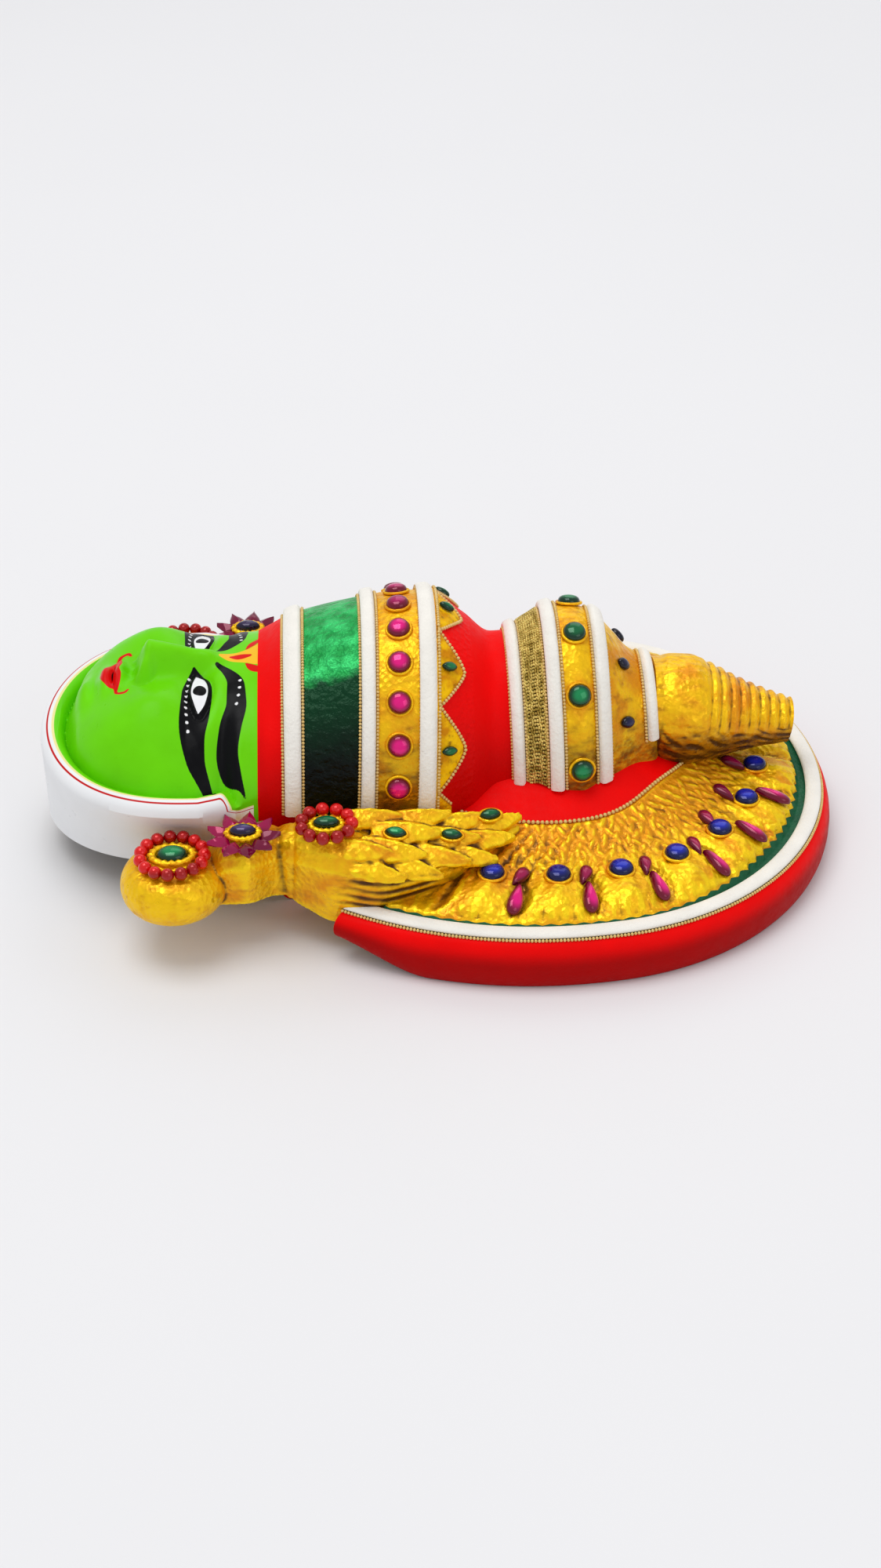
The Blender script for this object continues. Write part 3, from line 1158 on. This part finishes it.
class MASK_OT_halo(bpy.types.Operator):
    """Make the halo dish with its petals, green ring, red rim and skirt"""

    bl_idname = "mask.halo"
    bl_label = "Halo"

    # Radius and height round the rim, the first two radii measured from the gold ring's edge
    RIM = [
        (0.4, 19.0), (1.0, 18.7), (97.0, 18.6), (100.8, 18.6), (101.9, 18.3), (103.0, 17.0), (103.9, 15.0),
        (104.6, 12.4), (105.0, 9.6), (105.0, 6.4), (104.6, 3.6), (103.8, 1.2), (103.0, 0.0), (101.6, 0.0),
        (100.2, 0.3), (100.0, 6.0), (99.2, 12.0),
    ]
    GREEN_COLUMNS, RED_COLUMNS = 3, 10

    def execute(self, context):
        angle = np.linspace(-HALO_HALF_ANGLE, HALO_HALF_ANGLE, 521)[:, None]
        start = self.inner_radius(angle[:, 0])[:, None]
        inner = np.maximum(skirt_radius(angle), start + 0.5)
        crown_end = 1 - smoothstep(np.abs(angle), *BY_CROWN_END)
        reach = GOLD_RING_R - GOLD_RING_CUT * crown_end
        scallops = np.abs(((angle * SCALLOPS_A_DEGREE) % 1) * 2 - 1) ** 0.8
        outer = reach - (SCALLOP_DEPTH + SCALLOP_EXTRA * crown_end) * scallops
        skirt = mix(start, inner, np.linspace(0, 1, 26)[None, :-1])
        gold = mix(inner, outer, np.linspace(0, 1, 100)[None, :])
        radius = np.concatenate([skirt, gold], 1)
        relief = self.relief(radius, angle, inner, outer)
        top = halo_points(radius, angle, halo_height(radius) + relief)
        rim_r, rim_z = np.array(self.RIM).T
        rim_depth = (RIM_TOP_Z - rim_z[None, :]) * rim_depth_at(angle)
        rim = halo_points(rim_r[None, :] + reach * (rim_r < 2), angle, RIM_TOP_Z - rim_depth)
        under_r = mix(96.0, start, np.linspace(0, 1, 10)[None, :])
        under = halo_points(under_r, angle, np.minimum(halo_height(under_r) - HALO_WALL, 60))
        rings = np.concatenate([top, rim, under], 1)
        shape, skirt_end = rings.shape[:2], skirt.shape[1]
        finishes = [red_finish(), gold_finish(), green_ring_finish(), red_finish(), fibre_finish()]
        add_piece("halo", lofted(rings), finishes, "red_halo", ["halo_dish"], sharp=50,
                  which=self.bands(shape, skirt_end, radius.shape[1]),
                  layers=self.layers(shape, skirt_end, radius, angle, relief))
        return {"FINISHED"}

    def bands(self, shape, skirt_end, gold_end):
        """The finish of each face, and of the two end caps after them."""
        rows, count = shape
        green_end = gold_end + self.GREEN_COLUMNS
        red_end = green_end + self.RED_COLUMNS
        column = np.zeros(count, int)
        column[skirt_end:gold_end] = 1
        column[gold_end - 1:green_end] = 2
        column[green_end:red_end] = 3
        column[red_end:] = 4
        return np.concatenate([np.tile(column, rows - 1), [3, 3]])

    def layers(self, shape, skirt_end, radius, angle, relief):
        """Umber in the recesses, warmer gold by the crown and the ears, and deeper red down the rim."""
        gold_end = radius.shape[1]
        by_ears = smoothstep(np.abs(angle), *BY_EARS) * (1 - smoothstep(radius, 76, 88))
        _, rim_z = np.array(self.RIM).T
        wash, warm = np.zeros(shape), np.zeros(shape)
        wash[:, :gold_end] = self.recess(relief) + 0.25 * by_ears
        wash[:, :skirt_end] = 0.0
        wash[:, gold_end:gold_end + len(rim_z)] = smoothstep(-rim_z, -18.5, -8.0)
        warm[:, :gold_end] = np.maximum(0.9 * (1 - smoothstep(radius, 62, 72)), 0.8 * by_ears)
        return {"wash": wash.ravel(), "warm": warm.ravel()}

    @staticmethod
    def inner_radius(angles):
        """Where the dish meets the crown's side, a little inside the wall."""
        reach = np.linspace(8, 90, 330)
        turn = np.radians(angles)[:, None]
        x = HALO_X + reach[None, :] * np.cos(turn)
        y = np.abs(reach[None, :] * np.sin(turn))
        inside = (y < half_width_at(x) - 1.6) & (x < CROWN_END_X - 2)
        last = np.where(inside.any(1), inside.shape[1] - 1 - inside[:, ::-1].argmax(1), 0)
        return np.clip(reach[last] / flare_at(angles), 8, 88)

    @classmethod
    def relief(cls, radius, angle, inner, outer):
        """Petals under the stones, with chased leaves between and inside them."""
        petals = petal_relief(radius, angle)
        offset = petal_offset(angle)
        along = np.clip((radius - PETAL_R[0]) / (PETAL_R[1] - PETAL_R[0]), 0, 1)
        flutes = 0.25 * np.cos(offset * math.pi * 3) * np.sin(math.pi * along)
        groove = (0.2 + 0.5 * smoothstep(np.abs(angle), 32, 64)) * bump(offset - 1, 0.22)
        flutes = flutes - groove * smoothstep(along, 0.25, 0.5) * (1 - smoothstep(along, 0.8, 1))
        leaves = cls.chased(radius, angle)
        calm = 1 - 0.75 * smoothstep(petals, 1.2, 3.0)
        zone = smoothstep(radius - inner, 0, 1.5) * (1 - smoothstep(radius - outer, -0.9, 0))
        return zone * (0.7 + petals + flutes + leaves * calm)

    @staticmethod
    def chased(radius, angle):
        """Small overlapping leaves pressed into the ring, their places from a fixed seed."""
        rng = np.random.default_rng(7)
        total = np.zeros(radius.shape)
        plain_angle = angle[:, 0]
        for at_r in np.arange(52.5, 92, 2.1):
            spacing = 3.4 + 0.02 * at_r
            for at_a in np.arange(-HALO_HALF_ANGLE, HALO_HALF_ANGLE, math.degrees(spacing / at_r)):
                r, a = at_r + rng.uniform(-0.9, 0.9), at_a + rng.uniform(-0.9, 0.9)
                lean = math.radians(rng.uniform(-42, 42))
                length, half, height = rng.uniform(2.6, 4.0), rng.uniform(0.9, 1.5), rng.uniform(0.55, 1.05)
                reach = math.degrees(4.4 / r)
                low, high = np.searchsorted(plain_angle, (a - reach, a + reach))
                if high - low < 2:
                    continue
                dr = radius[low:high] - r
                da = np.radians(angle[low:high] - a) * r
                u = (dr * math.cos(lean) + da * math.sin(lean)) / length
                v = (da * math.cos(lean) - dr * math.sin(lean)) / half
                shape = np.maximum(0, 1 - u * u) * (1 - v * v / np.maximum(1 - 0.8 * np.abs(u), 0.15))
                shape = shape * (0.75 + 0.25 * u)
                np.maximum(total[low:high], height * shape, out=total[low:high])
        return total

    @staticmethod
    def recess(relief):
        """Depth below the local average of the relief."""
        smooth = relief.copy()
        for _ in range(10):
            smooth[1:-1] = (smooth[:-2] + smooth[1:-1] + smooth[2:]) / 3
            smooth[:, 1:-1] = (smooth[:, :-2] + smooth[:, 1:-1] + smooth[:, 2:]) / 3
        return np.clip((smooth - relief) * 1.5 + 0.08, -1, 0.5)


class MASK_OT_strips(bpy.types.Operator):
    """Lay the white strips over the crown and the piping round the halo"""

    bl_idname = "mask.strips"
    bl_label = "Strips and piping"

    # Shares of a strip's width and height round its section
    SECTION = [
        (0.0, 0.0), (0.0, 0.5), (0.06, 0.78), (0.2, 0.95), (0.5, 1.0), (0.8, 0.95), (0.94, 0.78), (1.0, 0.5),
        (1.0, 0.0),
    ]

    def execute(self, context):
        height = sizes().strip_height / MM
        strips = joined([self.strip(x, width, reach, height) for _, x, width, reach in STRIPS])
        nodes = [node for node, *_ in STRIPS]
        add_piece("crown_strips", strips, [strip_finish()], "white_trim", nodes, sharp=50)
        add_piece("halo_edge_piping", self.piping(), [strip_finish()], "white_trim", ["halo_piping"],
                  sharp=60)
        return {"FINISHED"}

    @classmethod
    def strip(cls, x, width, reach, height):
        across = np.linspace(-reach, reach, 120)
        left, right = head_points(x - width / 2, across), head_points(x + width / 2, across)
        out = head_normals(x, across)
        return lofted(np.stack([mix(left, right, u) + out * (0.1 + h * height) for u, h in cls.SECTION], 1))

    @staticmethod
    def piping():
        """A flat soft cord along the halo's edge."""
        angle = np.linspace(-HALO_HALF_ANGLE, HALO_HALF_ANGLE, 361)[:, None]
        around = np.linspace(0, 2 * math.pi, 22, endpoint=False)[None, :]
        across = np.sign(np.cos(around)) * np.abs(np.cos(around)) ** 0.8
        z = PIPING_Z - 0.1 + (PIPING_RISE + 0.15) * np.sin(around)
        return lofted(round_halo(PIPING_R * flare_at(angle) + PIPING_HALF * across, angle, z))


class MASK_OT_cords(bpy.types.Operator):
    """String the fine gold beads beside the strips, round the leaves and along the halo"""

    bl_idname = "mask.cords"
    bl_label = "Beaded cords"

    def execute(self, context):
        bead, edging = sizes().cord_bead / MM, sizes().edging_bead / MM
        for name, paths, radius, spacing, finish in (
            ("strip_cords", self.beside_strips(bead), bead, bead * 2.05, pale_wire),
            ("leaf_cord", self.round_leaves(), bead * 1.15, bead * 2.3, pale_wire),
            ("braid_band", self.braid(), BRAID_BEAD, BRAID_SPACING, braid_finish),
            ("skirt_edging", self.along_skirt(edging), edging, edging * 2.1, pale_wire),
            ("rim_cord", self.along_rim(), bead, bead * 2.05, pale_wire),
        ):
            finish_piece(beads_along(name, paths, radius, spacing, finish()), "gilt")
        return {"FINISHED"}

    @staticmethod
    def beside_strips(radius):
        paths = []
        for _, x, width, reach in STRIPS:
            across = np.linspace(-reach, reach, 150)
            for side in (-1, 1):
                at = x + side * (width / 2 + radius * 1.05)
                paths.append(head_points(at, across) + head_normals(at, across) * radius * 0.8)
        return paths

    @staticmethod
    def round_leaves():
        wide = np.linspace(-0.98, 0.98, 400)
        tip = leaf_tip(wide * math.pi / 2)
        return [head_points(tip + 0.3, wide) + head_normals(np.full_like(tip, 14.0), wide) * 0.6]

    @staticmethod
    def braid():
        """Crossing cords between the fourth and fifth strips."""
        share = np.linspace(-0.97, 0.97, 1500)
        out = head_normals(np.full_like(share, BRAID_X), share)
        paths = []
        for phase in range(BRAID_CORDS):
            at = BRAID_X + BRAID_HALF * np.sin(share * BRAID_TURNS * math.pi + phase * math.pi / 2)
            paths.append(head_points(at, share) + out * (0.5 + 0.2 * (phase % 2)))
        return paths

    @staticmethod
    def along_skirt(bead):
        """The skirt's edge on each side, as far as it clears the crown."""
        paths = []
        for low, high in ((-HALO_HALF_ANGLE, -8), (8, HALO_HALF_ANGLE)):
            angle = np.linspace(low, high, 240)
            angle = angle[MASK_OT_halo.inner_radius(angle) < skirt_radius(angle) - 1]
            reach = skirt_radius(angle)
            paths.append(halo_points(reach, angle, halo_height(reach) + bead * 0.75))
        return paths

    @staticmethod
    def along_rim():
        angle = np.linspace(-HALO_HALF_ANGLE, HALO_HALF_ANGLE, 500)
        return [round_halo(PIPING_R * flare_at(angle) + PIPING_HALF + 0.45, angle, RIM_TOP_Z + 0.5)]


def crown_seats(x, degrees, lift):
    """Seats over the crown at angles from its top."""
    across = np.array(degrees) / 90
    points, out = head_points(x, across), head_normals(np.full_like(across, x), across)
    return [(p + n * lift, n, ALONG, 1) for p, n in zip(points, out)]


def ring_point(radius, angle):
    """A point on the gold ring, over its petals."""
    angle = np.array(angle, float)
    height = halo_height(radius) + petal_relief(radius, angle) + 0.7
    return halo_points(np.array(radius, float), angle, height)


def halo_seats(radius, angles, lift):
    """Seats on the gold ring, heading out from its middle."""
    seats = []
    for angle in angles:
        round_ring = ring_point(radius, angle + 1) - ring_point(radius, angle - 1)
        inwards = ring_point(radius - 3, angle) - ring_point(radius + 3, angle)
        out = np.cross(round_ring, inwards)
        out /= np.linalg.norm(out)
        heading = ring_point(radius + 1, angle) - ring_point(radius - 1, angle)
        heading = heading / np.linalg.norm(heading)
        seats.append((ring_point(radius, angle) + out * lift, out, heading, 1))
    return seats


def fan(count, step):
    return [(i - (count - 1) / 2) * step for i in range(count)]


def petal_angles():
    return [side * (PETAL_FIRST + PETAL_STEP * i) for side in (-1, 1) for i in range(PETALS_A_SIDE)]


def numbered(name, count):
    return [f"{name}_{i + 1}" for i in range(count)]


def set_stones(name, kind, seats, finish, slot, *nodes, shape=None):
    """A piece of stones of one kind, their shape from the table unless it is given."""
    template = cabochon(kind, *(shape or STONE_SHAPES[kind]))
    finish_piece(set_on(name, template, seats, stone_finish(finish)), slot, *nodes)


class MASK_OT_stones(bpy.types.Operator):
    """Set the round stones, drops and petals with their gold settings"""

    bl_idname = "mask.stones"
    bl_label = "Stones"

    def execute(self, context):
        width, rise = sizes().stone / MM, sizes().stone_rise / MM
        rubies = crown_seats(RUBY_X, fan(RUBY_COUNT, RUBY_STEP), STONE_LIFT)
        emeralds = crown_seats(EMERALD_X, fan(EMERALD_COUNT, EMERALD_STEP), STONE_LIFT)
        leaf_stones = crown_seats(LEAF_STONE_X, fan(LEAF_COUNT, LEAF_PITCH), LEAF_STONE_LIFT)
        sapphires = halo_seats(SAPPHIRE_R, petal_angles(), SAPPHIRE_LIFT)
        dusk_stones = crown_seats(DUSK_STONE_X, DUSK_STONE_ANGLES, DUSK_STONE_LIFT)
        round_shape, blue_shape = (width, width, rise), (width + 0.6, width + 0.6, rise)
        set_stones("rubies", "round_stone", rubies, "ruby", "ruby",
                   *numbered("ruby", RUBY_COUNT), shape=round_shape)
        set_stones("emeralds", "round_stone", emeralds, "emerald", "emerald",
                   *numbered("emerald", EMERALD_COUNT), shape=round_shape)
        set_stones("sapphires", "blue_stone", sapphires, "sapphire", "sapphire",
                   *numbered("sapphire_left", PETALS_A_SIDE), *numbered("sapphire_right", PETALS_A_SIDE),
                   shape=blue_shape)
        set_stones("leaf_stones", "leaf_stone", leaf_stones, "emerald", "emerald",
                   *numbered("leaf_stone", LEAF_COUNT))
        set_stones("dusk_stones", "dusk_stone", dusk_stones, "navy", "sapphire")
        rings = [(p - n * 0.3, n, h, g) for p, n, h, g in rubies + emeralds]
        rings += [(p - n * 0.4, n, h, 1.06) for p, n, h, _ in sapphires]
        ring = bezel("setting", width + 0.8, width + 0.8, 0.6)
        finish_piece(set_on("stone_settings", ring, rings, gold_finish()), "gilt")
        self.drops()
        return {"FINISHED"}

    @staticmethod
    def drops():
        """A magenta drop outside and a maroon curl beside each blue stone of the halo."""
        drops, curls = [], []
        for side in (-1, 1):
            for i in range(PETALS_A_SIDE):
                at = PETAL_FIRST + PETAL_STEP * i
                far = float(smoothstep(at, 32, 64))
                if i > 0:
                    turn = side * (at + mix(*DROP_TURN, far))
                    p, n, h, g = halo_seats(mix(*DROP_R, far), [turn], DROP_LIFT)[0]
                    drops.append((p, n, -h, g))
                turn = side * (at + mix(*CURL_TURN, far))
                p, n, h, g = halo_seats(mix(*CURL_R, far), [turn], DROP_LIFT)[0]
                curls.append((p, n, h + side * 0.4 * np.cross(n, h), g))
        drop_shape = (sizes().drop / MM, DROP_WIDTH, DROP_RISE, -1.0)
        set_stones("drop_stones", "drop", drops, "ruby", "ruby", shape=drop_shape)
        set_stones("curl_petals", "curl", curls, "maroon_petal", "maroon_petal")


class MASK_OT_ears(bpy.types.Operator):
    """Make the gilded ear ornaments with their flowers, stones and beads"""

    bl_idname = "mask.ears"
    bl_label = "Ear ornaments"

    # Place along X, place across, half width, top and back of the tail's sections
    TAIL = [
        (-96, 66, 8, 32, 19), (-85, 66, 10.5, 35.8, 19), (-81, 66, 11.5, 41, 19.5),
        (-73.5, 66, 13, 43.8, 20.5), (-61, 62, 9, 41, 18), (-52, 64, 12, 43.6, 15.5),
        (-42, 66, 15, 44.8, 12.5), (-29, 67, 16, 41, 14), (-17, 66, 13.5, 38.5, 18),
        (-8, 64, 12.5, 35.6, 20), (2, 62, 10, 36.5, 22), (12, 57, 7.5, 35, 24), (26, 53, 1.5, 34, 26),
    ]
    # Base, tip and half width of the leaves on the tail
    LEAVES = [
        ((6, -58, 35.5), (27, -53.5, 36.5), 5), ((2, -62, 34.5), (24, -61, 32.5), 5.5),
        ((-4, -67, 33.5), (17, -71, 30), 6), ((-8, -57.5, 37.5), (15, -55.5, 38.5), 5.5),
        ((-12, -62.5, 38), (11, -64.5, 35), 6.5), ((-16, -69, 36.5), (7, -74, 32), 6.5),
        ((-22, -75, 35.5), (-3, -80, 30), 5.5), ((-24, -58.5, 41), (1, -57, 41), 6),
        ((-28, -64, 42), (-3, -66.5, 39.5), 7), ((-32, -70, 40.5), (-9, -75, 36), 7),
        ((-38, -76, 37.5), (-17, -82, 31), 6), ((-40, -60, 44), (-17, -60, 43), 5.5),
        ((-41, -72.5, 41.5), (-21, -76.5, 38.5), 6),
    ]

    def execute(self, context):
        points, faces = joined([self.boss(), self.tail(), *map(self.leaf, self.LEAVES)])
        for side, name in ((1, "left"), (-1, "right")):
            part = (points, faces) if side == 1 else mirrored(points, faces)
            piece = self.moulded(f"ear_moulding_{name}", *part)
            finish_piece(piece, "gilt", f"ear_ornament_{name}")
            self.jewels(name, side)
            self.tail_stones(name, side, piece)
        return {"FINISHED"}

    @staticmethod
    def boss():
        half = (BOSS_LEDGE - BOSS_BACK) / 2
        turn = np.radians(np.linspace(-90, 90, 25))
        bulge = BOSS_R - 10 + 10 * np.cos(turn) ** 0.8
        side = [(radius, BOSS_BACK + half + half * math.sin(t)) for radius, t in zip(bulge, turn)]
        profile = [(0, BOSS_BACK), *side, (8.6, BOSS_LEDGE), (8, BOSS_TOP), (0, BOSS_TOP)]
        points, faces = turned(profile, 64)
        return points + [BOSS_X, -BOSS_Y, 0], faces

    @classmethod
    def tail(cls):
        table = np.array(cls.TAIL, float)
        x = np.linspace(table[0, 0], table[-1, 0], 90)
        y, half, top, back = (curve_through(*zip(table[:, 0], table[:, i]))(x) for i in range(1, 5))
        edge = back + (top - back) * 0.72
        flank, brow = mix(back, edge, 0.5), top - 0.8
        slope = mix(edge, brow, 0.65)
        section = [(-0.9, back), (-1.0, flank), (-1.0, edge), (-0.8, slope), (-0.55, brow), (0, top),
                   (0.55, brow), (0.8, slope), (1.0, edge), (1.0, flank), (0.9, back)]
        return lofted(np.stack([stacked(x, -y + half * u, z) for u, z in section], 1))

    @staticmethod
    def leaf(spec):
        base, tip, half = (np.array(v, float) for v in spec)
        run = tip - base
        length = np.linalg.norm(run)
        points, faces = blade(length, float(half), 3.6, curl=1.6, ridge=1.0, veins=0.2, rows=48, sides=21)
        heading = math.degrees(math.atan2(run[1], run[0]))
        dip = math.degrees(math.asin(run[2] / length))
        return placed(points, base, heading, dip), faces

    def moulded(self, name, points, faces):
        """The forms joined into one skin, with the grime of its recesses kept as a layer."""
        piece = link(name, mesh_of(name, points, faces, []))
        remesh = piece.modifiers.new("join", "REMESH")
        remesh.mode = "VOXEL"
        remesh.voxel_size = EAR_VOXEL * MM
        piece.modifiers.new("soften", "SMOOTH").iterations = 2
        skin = evaluated_mesh(name, piece)
        piece.modifiers.clear()
        piece.data = skin
        skin.materials.append(gold_finish())
        skin.shade_smooth()
        add_layer(skin, "wash", wash_of(skin, 16, 1.9) + 0.03 + self.folds(skin))
        return piece

    @staticmethod
    def folds(skin):
        """Press fine creases into the neck and the tail's flank; gives the grime that they hold."""
        points, normals = surface_of(skin)
        x, y, z = points[:, 0], np.abs(points[:, 1]), points[:, 2]
        neck = bump(x + 60.5 + 0.08 * (z - 30), 1.1) + 0.7 * bump(x + 56.5 - 0.06 * (z - 30), 0.8)
        flank = smoothstep(x, -50, -30) * smoothstep(y, 70, 78) * (1 - smoothstep(z, 33, 37))
        strands = np.sin(z * 1.9 + 0.16 * x + 1.6 * np.sin(x * 0.21) + 0.8 * np.sin(y * 0.5))
        depth = 0.7 * neck + 0.4 * flank * (0.5 - 0.5 * strands)
        moved = (points - normals * depth[:, None]) * MM
        skin.vertices.foreach_set("co", moved.ravel())
        skin.update()
        foot = smoothstep(x, -45, -30) * (1 - smoothstep(z, 24, 31))
        return 0.35 * neck + 0.55 * flank * (0.5 - 0.5 * strands) + 0.1 * flank + 0.3 * foot

    def jewels(self, name, side):
        """The boss with its stone and ring of beads, the two flowers, and their settings."""
        boss = np.array([BOSS_X, -BOSS_Y * side, BOSS_TOP + 0.2])
        set_stones(f"boss_jewel_{name}", "boss_jewel", [(boss, UP, ALONG, 1)], "emerald", "emerald",
                   f"boss_stone_{name}")
        radius = sizes().red_bead / MM
        ring, lift = [], BOSS_LEDGE - BOSS_TOP + radius
        for t in np.linspace(0, 2 * math.pi, BEAD_RING_COUNT, endpoint=False):
            ring.append((boss + [BEAD_RING_R * math.cos(t), BEAD_RING_R * math.sin(t), lift], UP, ALONG, 1))
        beads = set_on(f"boss_bead_ring_{name}", self.bead(radius), ring, stone_finish("red_bead"))
        finish_piece(beads, "red_bead", f"boss_beads_{name}")
        settings = [(boss - [0, 0, 0.2], UP, ALONG, 1.3)]
        for number, (x, y, z) in enumerate(FLOWERS, 1):
            centre = np.array([x, -y * side, z + 0.4])
            stone = centre + [0, 0, FLOWER_STONE_LIFT]
            self.flower(number, name, centre)
            gem, slot = ("violet", "sapphire") if number == 1 else ("emerald", "emerald")
            set_stones(f"flower_{number}_jewel_{name}", "jewel", [(stone, UP, ALONG, 1)], gem, slot,
                       f"flower_stone_{number}_{name}")
            settings.append((stone - [0, 0, 0.9], UP, ALONG, 1))
        ring = bezel("ear_setting", 11.2, 8.2, 1.1, beads=20)
        finish_piece(set_on(f"ear_settings_{name}", ring, settings, gold_wire()), "gilt")

    def flower(self, number, name, centre):
        """A rosette on the neck: the first of petals, the second of beads."""
        petals, finish = (FLOWER_PETALS, "maroon_petal") if number == 1 else (FLOWER_BEADS, "red_bead")
        seats = []
        for i in range(petals):
            t = 2 * math.pi * i / petals
            out = np.array([math.cos(t), math.sin(t), 0.0])
            seats.append((centre + out * 5.6, UP, out, 1))
        if number == 1:
            points, faces = blade(7.8, 3.2, 1.9, curl=1.0, ridge=0.3)
            template = mesh_of("flower_petal", points, faces, [], layers={"edge": np.full(len(points), 0.4)})
        else:
            lift = np.array([0, 0, FLOWER_STONE_LIFT])
            seats = [(p + h * 3.4 + lift, n, h, g) for p, n, h, g in seats]
            template = self.bead(FLOWER_BEAD_R)
        piece = set_on(f"flower_{number}_petals_{name}", template, seats, stone_finish(finish))
        finish_piece(piece, finish, f"flower_{number}_{name}")

    @staticmethod
    def tail_stones(name, side, carrier):
        """Small marquise stones where the leaves fork, seated on the moulding."""
        surface = BVHTree.FromObject(carrier, bpy.context.evaluated_depsgraph_get())
        seats = []
        for x, y, heading in TAIL_STONES:
            hit, normal, _, _ = surface.ray_cast(Vector((x, -y * side, 200)) * MM, Vector((0, 0, -1)))
            if hit is None:
                raise RuntimeError(f"no moulding under the tail stone at {x}, {y}")
            facing = (normal + Vector((0, 0, 1.5))).normalized()
            turn = math.radians(heading * side)
            point = np.array(hit) / MM + np.array(facing) * 0.2
            seats.append((point, tuple(facing), (math.cos(turn), math.sin(turn), 0), 1))
        set_stones(f"tail_stones_{name}", "tail_stone", seats, "emerald", "emerald")
        rims = [(p - np.array(n) * 0.5, n, h, 0.72) for p, n, h, _ in seats]
        rim = bezel("tail_setting", 12, 7.6, 0.9, 0.2)
        finish_piece(set_on(f"tail_settings_{name}", rim, rims, gold_wire()), "gilt")

    @staticmethod
    def bead(radius):
        turn = np.linspace(-math.pi / 2, math.pi / 2, 11)
        profile = [(radius * math.cos(t), radius * math.sin(t)) for t in turn]
        points, faces = turned(profile, 18)
        return mesh_of("red_bead", points, faces, [], layers={"edge": np.full(len(points), 0.3)})


class MASK_OT_stage(bpy.types.Operator):
    """Set the floor, the soft studio light and the camera"""

    bl_idname = "mask.stage"
    bl_label = "Stage"

    TARGET = (-0.001, -0.020, 0.030)
    AZIMUTH, ELEVATION, LENS = -3.0, 35.0, 55.08
    # Name, place, size and power of the lamps
    LAMPS = [
        ("key", (-0.5, 0.0, 2.3), 1.4, 22.5), ("fill", (0.9, -1.2, 0.9), 0.9, 2.5),
        ("back", (0.4, 1.6, 1.4), 1.4, 5.2),
    ]

    def execute(self, context):
        bpy.ops.mesh.primitive_plane_add(size=12, location=(0, 0, -0.0004))
        floor = context.object
        floor.name = "floor"
        look = Look("pale_floor", 0.7)
        look.colour(look.blend(look.noise(3.0), rgba((0.80, 0.80, 0.81)), rgba((0.83, 0.83, 0.84))))
        floor.data.materials.append(look.material)
        target = Vector(self.TARGET)
        a, e = math.radians(self.AZIMUTH), math.radians(self.ELEVATION)
        back = Vector((math.sin(a) * math.cos(e), -math.cos(a) * math.cos(e), math.sin(e)))
        lens = bpy.data.cameras.new("camera")
        lens.lens, lens.clip_start, lens.clip_end = self.LENS, 0.02, 60
        context.scene.camera = self.aimed("camera", lens, target + back * sizes().camera_distance, -back)
        for name, place, size, power in self.LAMPS:
            lamp = bpy.data.lights.new(name, "AREA")
            lamp.size, lamp.energy = size, power
            self.aimed(name, lamp, place, target - Vector(place))
        world = bpy.data.worlds.new("studio")
        world.use_nodes = True
        sky = world.node_tree.nodes["Background"].inputs
        sky["Color"].default_value = (0.98, 0.98, 1.0, 1)
        sky["Strength"].default_value = 0.63
        context.scene.world = world
        context.scene.view_settings.view_transform = "Standard"
        return {"FINISHED"}

    @staticmethod
    def aimed(name, data, place, towards):
        """A lamp or camera at a place, looking along a direction."""
        piece = link(name, data)
        piece.location = place
        piece.rotation_mode = "QUATERNION"
        piece.rotation_quaternion = towards.to_track_quat("-Z", "Y")
        return piece


class MASK_PT_panel(bpy.types.Panel):
    """The mask's steps and values"""

    bl_idname = "MASK_PT_panel"
    bl_label = "Kathakali mask"
    bl_space_type = "VIEW_3D"
    bl_region_type = "UI"
    bl_category = "Mask"

    def draw(self, context):
        for operator in OPERATORS:
            self.layout.operator(operator.bl_idname)
        for group in (context.scene.mask_sizes, context.scene.mask_colours):
            for name in group.__annotations__:
                self.layout.prop(group, name)


OPERATORS = (
    MASK_OT_stage, MASK_OT_head, MASK_OT_halo, MASK_OT_strips, MASK_OT_cords, MASK_OT_stones, MASK_OT_ears,
)
CLASSES = (MaskSizes, MaskColours, *OPERATORS, MASK_PT_panel)


def register():
    for cls in CLASSES:
        bpy.utils.register_class(cls)
    bpy.types.Scene.mask_sizes = PointerProperty(type=MaskSizes)
    bpy.types.Scene.mask_colours = PointerProperty(type=MaskColours)


def unregister():
    del bpy.types.Scene.mask_sizes
    del bpy.types.Scene.mask_colours
    for cls in reversed(CLASSES):
        bpy.utils.unregister_class(cls)


def main():
    register()
    bpy.ops.mask.stage()
    bpy.ops.mask.head()
    bpy.ops.mask.halo()
    bpy.ops.mask.strips()
    bpy.ops.mask.cords()
    bpy.ops.mask.stones()
    bpy.ops.mask.ears()


if __name__ == "__main__":
    main()
